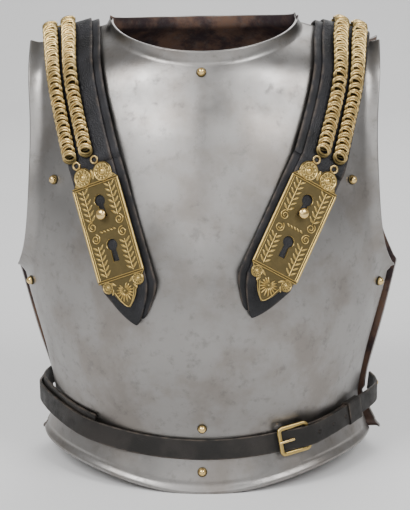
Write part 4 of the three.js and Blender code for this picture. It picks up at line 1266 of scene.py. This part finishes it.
class Nodes:
    """Short names for building one procedural material."""

    def __init__(self, name):
        self.material = bpy.data.materials.new(name)
        self.material.use_nodes = True
        self.tree = self.material.node_tree
        self.shader = self.tree.nodes["Principled BSDF"]
        self.place = self.tree.nodes.new("ShaderNodeTexCoord").outputs["Object"]
        self.uv = self.tree.nodes.new("ShaderNodeTexCoord").outputs["UV"]

    def node(self, kind, **settings):
        made = self.tree.nodes.new(kind)
        for key, value in settings.items():
            setattr(made, key, value)
        return made

    def feed(self, socket, value):
        if isinstance(value, bpy.types.NodeSocket):
            self.tree.links.new(value, socket)
        elif value is not None:
            socket.default_value = value

    def stretched(self, scale, source=None):
        made = self.node("ShaderNodeMapping")
        self.feed(made.inputs["Vector"], source or self.place)
        made.inputs["Scale"].default_value = scale
        return made.outputs["Vector"]

    def noise(self, scale, detail=4.0, roughness=0.55, vector=None):
        made = self.node("ShaderNodeTexNoise")
        self.feed(made.inputs["Vector"], vector or self.place)
        made.inputs["Scale"].default_value = scale
        made.inputs["Detail"].default_value = detail
        made.inputs["Roughness"].default_value = roughness
        return made.outputs["Fac"]

    def cells(self, scale, feature="F1", vector=None):
        made = self.node("ShaderNodeTexVoronoi", feature=feature)
        self.feed(made.inputs["Vector"], vector or self.place)
        made.inputs["Scale"].default_value = scale
        return made.outputs["Distance"]

    def span(self, value, low, high, to_low=0.0, to_high=1.0):
        made = self.node("ShaderNodeMapRange", interpolation_type="SMOOTHSTEP")
        self.feed(made.inputs["Value"], value)
        for key, amount in zip(("From Min", "From Max", "To Min", "To Max"), (low, high, to_low, to_high)):
            made.inputs[key].default_value = amount
        return made.outputs["Result"]

    def math(self, kind, a, b=0.0):
        made = self.node("ShaderNodeMath", operation=kind)
        self.feed(made.inputs[0], a)
        self.feed(made.inputs[1], b)
        return made.outputs["Value"]

    def blend(self, share, a, b):
        made = self.node("ShaderNodeMix", data_type="RGBA")
        self.feed(made.inputs["Factor"], share)
        self.feed(made.inputs["A"], a)
        self.feed(made.inputs["B"], b)
        return made.outputs["Result"]

    def attribute(self, name):
        return self.node("ShaderNodeAttribute", attribute_name=name).outputs["Fac"]

    def bump(self, height, distance, strength=1.0, below=None):
        made = self.node("ShaderNodeBump")
        self.feed(made.inputs["Height"], height)
        made.inputs["Distance"].default_value = distance
        made.inputs["Strength"].default_value = strength
        self.feed(made.inputs["Normal"], below)
        return made.outputs["Normal"]

    def finish(self, colour, metallic, roughness, normal=None):
        self.feed(self.shader.inputs["Base Color"], colour)
        self.feed(self.shader.inputs["Metallic"], metallic)
        self.feed(self.shader.inputs["Roughness"], roughness)
        self.feed(self.shader.inputs["Normal"], normal)
        return self.material


def rgba(colour):
    return (*colour[:3], 1.0)


def steel_material(colours):
    """Satin steel: grey with warm brown mottling, soft dents, fine scratches and pits."""
    n = Nodes("steel_polished")
    mottle = n.span(n.noise(16, 6, 0.62), 0.42, 0.66)
    speck = n.span(n.noise(90, 5, 0.7), 0.52, 0.72)
    grain = n.noise(520, 3, 0.6)
    colour = n.blend(n.math("MULTIPLY", mottle, 0.55), rgba(colours.steel), rgba(colours.steel_warm))
    colour = n.blend(n.math("MULTIPLY", speck, 0.35), colour, rgba(colours.steel_dark))
    rough = n.math("ADD", n.span(n.noise(30, 5), 0.35, 0.7, 0.27, 0.4), n.math("MULTIPLY", grain, 0.06))
    rough = n.math("ADD", rough, n.math("MULTIPLY", speck, 0.1))
    scratch = n.noise(60, 4, 0.7, n.stretched((1, 1, 14)))
    scratch_across = n.noise(60, 4, 0.7, n.stretched((10, 3, 1)))
    normal = n.bump(n.noise(7, 2), 0.0035, 0.35)
    normal = n.bump(n.math("ADD", scratch, scratch_across), 0.00006, 0.5, normal)
    normal = n.bump(n.noise(1200, 3, 0.7), 0.00008, 0.5, normal)
    return n.finish(colour, 1.0, rough, normal)


def steel_inside_material(colours):
    """The unpolished inside: dark brown and purplish old rust over steel."""
    n = Nodes("steel_inside")
    patch = n.span(n.noise(22, 7, 0.7), 0.4, 0.62)
    speck = n.span(n.noise(180, 5, 0.75), 0.45, 0.7)
    colour = n.blend(patch, rgba(colours.rust_dark), rgba(colours.rust))
    colour = n.blend(n.math("MULTIPLY", speck, 0.5), colour, rgba(colours.steel_dark))
    metal = n.span(patch, 0, 1, 0.75, 0.25)
    normal = n.bump(n.noise(260, 5, 0.75), 0.0005, 0.5)
    return n.finish(colour, metal, 0.62, normal)


def brass_material(colours):
    """Aged cast brass: golden high places over a dark, greenish brown ground; on the buckle the tone is
    painted light, golden on the outer face and painted shade on the sides and underside.
    """
    n = Nodes("brass_aged")
    high = n.span(n.attribute("tone"), 0.1, 0.85)
    worn = n.math("MULTIPLY", n.noise(140, 5, 0.7), 0.45)
    share = n.span(n.math("ADD", high, worn), 0.15, 1.1)
    colour = n.blend(share, rgba(colours.brass_dark), rgba(colours.brass))
    rough = n.span(share, 0, 1, 0.56, 0.3)
    normal = n.bump(n.noise(420, 5, 0.7), 0.00025, 0.5)
    return n.finish(colour, n.span(share, 0, 1, 0.8, 1.0), rough, normal)


def polished_brass_material(colours):
    """Rivet heads, studs and the buckle's prong: bright brass with a dark line where it meets the steel."""
    n = Nodes("brass_polished")
    high = n.span(n.attribute("tone"), 0.0, 0.5)
    colour = n.blend(high, rgba(colours.brass_dark), rgba(colours.brass_bright))
    rough = n.math("ADD", n.span(high, 0, 1, 0.5, 0.17), n.math("MULTIPLY", n.noise(200), 0.08))
    normal = n.bump(n.noise(500, 3), 0.0001, 0.4)
    return n.finish(colour, 1.0, rough, normal)


def chain_material(colours):
    """Chain links: gilt brass with rubbed spots, a painted highlight on their raised parts and painted
    shade on the low ends tucked under the last link.
    """
    n = Nodes("chain_brass")
    # The tone attribute carries painted light here: highlight on the raised parts, painted shade low down;
    # the noise spots are rubbed wear.
    high = n.span(n.attribute("tone"), 0.0, 1.0)
    spot = n.span(n.noise(160, 5, 0.7), 0.4, 0.65)
    share = n.math("MULTIPLY", high, n.span(spot, 0, 1, 0.55, 1.0))
    colour = n.blend(share, rgba(colours.brass_dark), rgba(colours.brass_bright))
    rough = n.span(share, 0, 1, 0.48, 0.24)
    return n.finish(colour, 1.0, rough, n.bump(n.noise(600, 4, 0.7), 0.00015, 0.5))


def leather_material(name, colour_low, colour_high, pebble, depth):
    """Old leather: pebbled grain, edges rubbed lighter, dull with a slight sheen."""
    n = Nodes(name)
    warp = n.noise(260, 2)
    grain = n.cells(pebble, "F1")
    creases = n.noise(55, 6, 0.7)
    patch = n.span(n.noise(35, 5), 0.35, 0.7)
    colour = n.blend(patch, rgba(colour_low), rgba(colour_high))
    worn = n.span(n.attribute("tone"), 0.0, 0.9, 0.35, 0.0)
    worn = n.math("MULTIPLY", worn, n.span(n.noise(120, 4), 0.35, 0.65))
    colour = n.blend(worn, colour, rgba((0.16, 0.12, 0.09)))
    rough = n.span(n.noise(90, 4), 0.3, 0.7, 0.42, 0.62)
    height = n.math("ADD", n.math("MULTIPLY", grain, 1.0), n.math("MULTIPLY", warp, 0.3))
    normal = n.bump(height, depth, 0.7)
    normal = n.bump(creases, 0.0008, 0.25, normal)
    n.shader.inputs["Specular IOR Level"].default_value = 0.3
    return n.finish(colour, 0.0, rough, normal)


def plain_material(name, colour, roughness):
    n = Nodes(name)
    tone = n.blend(n.noise(3, 2), rgba(colour), rgba([c * 0.97 for c in colour]))
    return n.finish(tone, 0.0, roughness)


# ---------------------------------------------------------------- settings


class CuirassSizes(bpy.types.PropertyGroup):
    """Sizes that may be changed before the pieces are built."""

    rim_bead: bpy.props.FloatProperty(
        name="Rim bead",
        description="Height of the rolled bead along the lower rims, in millimetres",
        default=RIM_BEAD["height"],
        min=0,
        max=3,
    )
    link_pitch: bpy.props.FloatProperty(
        name="Link pitch",
        description="Distance from one chain link to the next, in millimetres",
        default=LINK["pitch"],
        min=3,
        max=12,
    )
    leather_edge: bpy.props.FloatProperty(
        name="Leather edge",
        description="Rounding of the leather's edges, in millimetres",
        default=0.9,
        min=0.2,
        max=1.1,
    )
    floor: bpy.props.FloatProperty(
        name="Floor",
        description="Width of the pale floor",
        default=8.0,
        unit="LENGTH",
    )


def colour_property(name, description, default):
    return bpy.props.FloatVectorProperty(
        name=name, description=description, subtype="COLOR", size=3, default=default, min=0, max=1
    )


class CuirassColours(bpy.types.PropertyGroup):
    """Colours of the finishes, as linear values."""

    steel: colour_property("Steel", "Clean polished steel", (0.30, 0.29, 0.28))
    steel_warm: colour_property("Warm steel", "Brown bloom on the steel", (0.19, 0.162, 0.138))
    steel_dark: colour_property("Dark steel", "Pits and stains", (0.12, 0.11, 0.105))
    rust: colour_property("Rust", "Old rust inside the plates", (0.16, 0.09, 0.06))
    rust_dark: colour_property("Dark rust", "Deepest rust inside", (0.07, 0.05, 0.055))
    # Brass and bright brass also paint the highlights on the buckle and chain links, and dark brass also
    # paints the shade on them.
    brass: colour_property("Brass", "Rubbed cast brass", (0.50, 0.36, 0.13))
    brass_bright: colour_property("Bright brass", "Polished brass", (0.72, 0.52, 0.22))
    brass_dark: colour_property("Dark brass", "Tarnish in the recesses", (0.10, 0.075, 0.03))
    leather: colour_property("Leather", "Black leather", (0.006, 0.006, 0.007))
    leather_high: colour_property("Leather bloom", "Worn black leather", (0.018, 0.018, 0.021))
    belt: colour_property("Belt", "Dark brown belt leather", (0.008, 0.007, 0.006))
    belt_high: colour_property("Belt bloom", "Worn belt leather", (0.02, 0.017, 0.015))
    stage: colour_property("Stage", "Pale floor", (0.80, 0.80, 0.80))


MATERIALS = {}


def finishes():
    """The materials, made once."""
    if not MATERIALS:
        colours = bpy.context.scene.cuirass_colours
        MATERIALS.update(
            steel=steel_material(colours),
            inside=steel_inside_material(colours),
            brass=brass_material(colours),
            polished=polished_brass_material(colours),
            chain=chain_material(colours),
            strap=leather_material("strap_leather", colours.leather, colours.leather_high, 720, 0.0005),
            backing=leather_material(
                "backing_leather", colours.leather, colours.leather_high, 900, 0.0002
            ),
            belt=leather_material("belt_leather", colours.belt, colours.belt_high, 1100, 0.00018),
        )
    return MATERIALS


# ---------------------------------------------------------------- operators


class CUIRASS_OT_plates(bpy.types.Operator):
    """Builds the two steel plates with their turned and rolled edges"""

    bl_idname = "cuirass.plates"
    bl_label = "Steel plates"

    def execute(self, context):
        RIM_BEAD["height"] = context.scene.cuirass_sizes.rim_bead
        m = finishes()
        for name, form in (("breastplate", breast_form), ("backplate", back_form)):
            plate_shell(form).piece(name + "_steel", [m["steel"], m["inside"]], [name], "steel")
        return {"FINISHED"}


class CUIRASS_OT_rivets(bpy.types.Operator):
    """Builds the domed brass rivets of the plates, strap ends and belt ends"""

    bl_idname = "cuirass.rivets"
    bl_label = "Rivets"

    def execute(self, context):
        m = finishes()
        for form, rivets in ((breast_form, FRONT_RIVETS), (back_form, BACK_RIVETS)):
            for name, (x, z) in rivets.items():
                dome_shell(*form.steel_place(x, z)).piece(name + "_dome", [m["polished"]], [name], "brass")
        for strap in STRAPS:
            route = strap_route(strap)
            place = route.length - STRAP_END - END_RIVET["inset"]
            point, normal, _, across = (rows[0] for rows in route.at(place))
            for side in (-1, 1):
                which = "outer_" if side * strap["sign"] > 0 else "inner_"
                name = "rivet_strap_" + which + strap["side"]
                at = point + across * side * END_RIVET["across"] + normal * STRAP_TOP
                shell = dome_shell(at, normal, END_RIVET["scale"])
                shell.piece(name + "_dome", [m["polished"]], [name], "brass")
        belt = belt_route()
        ends = (("left", 0.015, LONG_BELT_STAND[0][1]), ("right", 0.985, SHORT_BELT["stand"]))
        for side, share, stand in ends:
            point, normal, _, _ = (rows[0] for rows in belt.at(share * belt.length))
            name = "rivet_belt_" + side
            shell = dome_shell(point + normal * (stand + BELT["wall"]), normal)
            shell.piece(name + "_dome", [m["polished"]], [name], "brass")
        return {"FINISHED"}


class CUIRASS_OT_straps(bpy.types.Operator):
    """Builds the leather shoulder straps and their backings"""

    bl_idname = "cuirass.straps"
    bl_label = "Shoulder straps"

    def execute(self, context):
        m = finishes()
        radius = context.scene.cuirass_sizes.leather_edge
        for strap in STRAPS:
            route = strap_route(strap)
            side = strap["side"]
            d = leather_distances(route, 0, STRAP["tongue"], 2.0)
            half = tongue_half(d, STRAP["tongue"], STRAP["half"])
            shell = Shell()
            leather_band(shell, route, d, half, STRAP_LOW, STRAP["wall"], radius=radius)
            shell.piece("strap_leather_" + side, [m["strap"]], ["strap_" + side], "leather")
            start = BACKING["start"] - STRAP["start"]
            d = leather_distances(route, start, BACKING["tongue"], 2.0)
            half = tongue_half(d - start, BACKING["tongue"], BACKING["half"])
            centre = -strap["sign"] * BACKING["inward"]
            shell = Shell()
            leather_band(shell, route, d, half, 0, BACKING["wall"], centre, radius)
            shell.piece(
                "backing_leather_" + side, [m["backing"]], ["strap_backing_" + side], "leather"
            )
        return {"FINISHED"}


class CUIRASS_OT_chains(bpy.types.Operator):
    """Builds the curb chains, their end rings and the bars that hold them at the shoulder"""

    bl_idname = "cuirass.chains"
    bl_label = "Chains"

    def execute(self, context):
        LINK["pitch"] = context.scene.cuirass_sizes.link_pitch
        m = finishes()
        for strap in STRAPS:
            route = strap_route(strap)
            side = strap["side"]
            for i, k in enumerate((-0.5, 0.5)):
                offset = -strap["sign"] * (strap["chains"] + k * CHAIN["spread"])
                which = ("outer_" if i == 0 else "inner_") + side
                shell = chain_shell(route, offset)
                shell.piece("chain_links_" + which, [m["chain"]], ["chain_" + which], "brass")
                roundel = -strap["sign"] * (-1 if i == 0 else 1) * ROUNDEL["across"]
                centre = (mix(offset, roundel, 0.5), CHAIN_RING["along"], BRASS_LEVEL + 1)
                ring = ring_shell(route.frame, centre, CHAIN_RING["radius"], CHAIN_RING["wire"])
                ring.piece("jump_ring_" + which, [m["chain"]], ["chain_ring_" + which], "brass")
            start = route.crest + CHAIN["past_crest"] + GAP * 2
            points, normal, _, across = route.at(np.linspace(start, start + 7, 12))
            half = CHAIN["spread"] / 2 + CHAIN["half"]
            bar = rounded_profile(half, BRASS_LEVEL, BRASS_LEVEL + 3, 1.0, 24, 5)
            bar[:, 0] += -strap["sign"] * strap["chains"]
            shell = Shell()
            sweep(shell, points, across, normal, bar, tone=0.8)
            shell.piece("chain_anchor_" + side, [m["brass"]], ["chain_bar_" + side], "brass")
        return {"FINISHED"}


class CUIRASS_OT_keyhole_plates(bpy.types.Operator):
    """Builds the cast brass keyhole plates in relief, and the studs that they hook on"""

    bl_idname = "cuirass.keyhole_plates"
    bl_label = "Keyhole plates"

    def execute(self, context):
        m = finishes()
        for strap in STRAPS:
            route = strap_route(strap)
            side = strap["side"]
            shell = keyhole_plate_shell(strap, route)
            shell.piece("keyhole_relief_" + side, [m["brass"]], ["keyhole_plate_" + side], "brass")
            stud_shell(route).piece("stud_ball_" + side, [m["polished"]], ["stud_" + side], "brass")
        return {"FINISHED"}


class CUIRASS_OT_belt(bpy.types.Operator):
    """Builds the waist belt, its folded end, keeper and buckle"""

    bl_idname = "cuirass.belt"
    bl_label = "Waist belt"

    def execute(self, context):
        m = finishes()
        radius = context.scene.cuirass_sizes.leather_edge
        route = belt_route()
        fold = belt_route(FOLD["raise"])
        end = distance_at(route, LONG_BELT_END)
        body = np.arange(0, end - 12, 1.0)
        tip = end - 12 + 12 * np.sin(np.linspace(0, np.pi / 2, 26))
        d = np.concatenate([body, tip])
        half = BELT["half"] * np.sqrt(np.maximum(1 - clamp((d - end + 12) / 12) ** 2, 0.002))
        holes = [(distance_at(route, x), BELT_HOLE_RADIUS) for x in BELT_HOLES]
        shell = Shell()
        stand = long_belt_stand(route, d)
        leather_band(shell, route, d, half, stand, BELT["wall"], radius=radius, holes=holes)
        shell.piece("belt_strap_long", [m["belt"]], ["belt_long"], "leather")
        d = np.linspace(distance_at(route, SHORT_BELT["from"]), route.length, 90)
        shell = Shell()
        leather_band(shell, route, d, BELT["half"], SHORT_BELT["stand"], BELT["wall"], radius=radius)
        shell.piece("belt_strap_short", [m["belt"]], ["belt_short"], "leather")
        d = np.linspace(0, distance_at(fold, FOLD["to"]), 90)
        shell = Shell()
        leather_band(shell, fold, d, BELT["half"], FOLD["stand"], FOLD["wall"], radius=radius)
        shell.piece("belt_strap_fold", [m["belt"]], ["belt_fold"], "leather")
        keeper_shell(route).piece("belt_loop", [m["belt"]], ["belt_keeper"], "leather")
        buckle_shell(route).piece("buckle_cast", [m["brass"]], ["buckle_frame"], "brass")
        prong_shell(route).piece("buckle_tongue", [m["polished"]], ["buckle_prong"], "brass")
        return {"FINISHED"}


CAMERA = {
    "distance": 1700,
    "height": 600,
    "azimuth": 2.0,
    "pitch": 13.3,
    "roll": -0.35,
    "aside": -0.8,
    "lens": 125.1,
}
LIGHTS = (
    {"name": "key_left", "at": (-1.5, -1.7, 2.3), "size": (1.5, 1.5), "watts": 70},
    {"name": "key_right", "at": (1.7, -1.6, 2.2), "size": (1.4, 1.4), "watts": 55},
    {"name": "front_fill", "at": (0.0, -2.8, 1.1), "size": (2.6, 1.2), "watts": 18},
    {"name": "back_fill", "at": (0.4, 2.0, 2.0), "size": (2.0, 1.5), "watts": 30},
)
LIGHT_TARGET = Vector((0, 0, 0.22))


class CUIRASS_OT_stage(bpy.types.Operator):
    """Builds the floor and backdrop, the soft lights and the camera"""

    bl_idname = "cuirass.stage"
    bl_label = "Stage"

    def execute(self, context):
        scene = context.scene
        width = scene.cuirass_sizes.floor / 2
        material = plain_material("stage_pale", scene.cuirass_colours.stage, 0.8)
        turn = np.linspace(0, np.pi / 2, 24)
        sweep_y = np.concatenate([[-width], 2.2 + 0.9 * np.sin(turn)])
        sweep_z = np.concatenate([[0.0], 0.9 - 0.9 * np.cos(turn)])
        profile = np.stack([sweep_y, sweep_z], -1)
        profile = np.concatenate([profile, [[profile[-1, 0], width]]])
        x = np.linspace(-width, width, 9)
        points = np.stack(
            [
                np.broadcast_to(x[None, :], (len(profile), 9)),
                np.broadcast_to(profile[:, :1], (len(profile), 9)),
                np.broadcast_to(profile[:, 1:], (len(profile), 9)),
            ],
            -1,
        )
        mesh = bpy.data.meshes.new("stage_floor")
        quads = grid_quads(len(profile), 9)
        mesh.from_pydata(points.reshape(-1, 3).tolist(), [], quads.tolist())
        mesh.polygons.foreach_set("use_smooth", np.ones(len(quads), bool))
        mesh.materials.append(material)
        floor = bpy.data.objects.new("stage_floor", mesh)
        scene.collection.objects.link(floor)
        for light in LIGHTS:
            data = bpy.data.lights.new(light["name"], "AREA")
            data.shape = "RECTANGLE"
            data.size, data.size_y = light["size"]
            data.energy = light["watts"]
            lamp = bpy.data.objects.new(light["name"], data)
            lamp.location = light["at"]
            aim = LIGHT_TARGET - lamp.location
            lamp.rotation_euler = aim.to_track_quat("-Z", "Y").to_euler()
            scene.collection.objects.link(lamp)
        world = bpy.data.worlds.new("studio")
        world.use_nodes = True
        world.node_tree.nodes["Background"].inputs["Color"].default_value = (1, 1, 1, 1)
        world.node_tree.nodes["Background"].inputs["Strength"].default_value = 0.45
        scene.world = world
        self.add_camera(scene)
        return {"FINISHED"}

    def add_camera(self, scene):
        """The camera looks along +Y from a little to the right, tipped down and rolled."""
        azimuth, pitch, roll = (math.radians(CAMERA[k]) for k in ("azimuth", "pitch", "roll"))
        place = np.array(
            [
                math.sin(azimuth) * CAMERA["distance"] + CAMERA["aside"],
                -math.cos(azimuth) * CAMERA["distance"],
                CAMERA["height"],
            ]
        )
        ahead = np.array(
            [
                -math.sin(azimuth) * math.cos(pitch),
                math.cos(azimuth) * math.cos(pitch),
                -math.sin(pitch),
            ]
        )
        right = np.array([math.cos(azimuth), math.sin(azimuth), 0])
        up = np.cross(right, ahead)
        rolled = right * math.cos(roll) + up * math.sin(roll)
        above = -right * math.sin(roll) + up * math.cos(roll)
        data = bpy.data.cameras.new("camera")
        data.lens = CAMERA["lens"]
        data.clip_end = 50
        camera = bpy.data.objects.new("camera", data)
        columns = np.stack([rolled, above, -ahead], axis=1)
        matrix = Matrix([list(row) for row in columns]).to_4x4()
        matrix.translation = Vector((place + SHIFT) * MM)
        camera.matrix_world = matrix
        scene.collection.objects.link(camera)
        scene.camera = camera


class CUIRASS_PT_panel(bpy.types.Panel):
    """Lists the cuirass's settings and the operators that build it"""

    bl_idname = "CUIRASS_PT_panel"
    bl_label = "Cuirass"
    bl_space_type = "VIEW_3D"
    bl_region_type = "UI"
    bl_category = "Cuirass"

    def draw(self, context):
        for settings in (context.scene.cuirass_sizes, context.scene.cuirass_colours):
            for name in settings.__annotations__:
                self.layout.prop(settings, name)
        for operator in OPERATORS:
            self.layout.operator(operator.bl_idname)


OPERATORS = (
    CUIRASS_OT_stage,
    CUIRASS_OT_plates,
    CUIRASS_OT_rivets,
    CUIRASS_OT_straps,
    CUIRASS_OT_chains,
    CUIRASS_OT_keyhole_plates,
    CUIRASS_OT_belt,
)
CLASSES = (CuirassSizes, CuirassColours, *OPERATORS, CUIRASS_PT_panel)


def register():
    for cls in CLASSES:
        bpy.utils.register_class(cls)
    bpy.types.Scene.cuirass_sizes = bpy.props.PointerProperty(type=CuirassSizes)
    bpy.types.Scene.cuirass_colours = bpy.props.PointerProperty(type=CuirassColours)


def unregister():
    del bpy.types.Scene.cuirass_colours
    del bpy.types.Scene.cuirass_sizes
    for cls in reversed(CLASSES):
        bpy.utils.unregister_class(cls)


def main():
    register()
    for operator in OPERATORS:
        group, name = operator.bl_idname.split(".")
        if getattr(getattr(bpy.ops, group), name)() != {"FINISHED"}:
            raise RuntimeError(operator.bl_label + " didn't finish")


if __name__ == "__main__":
    main()
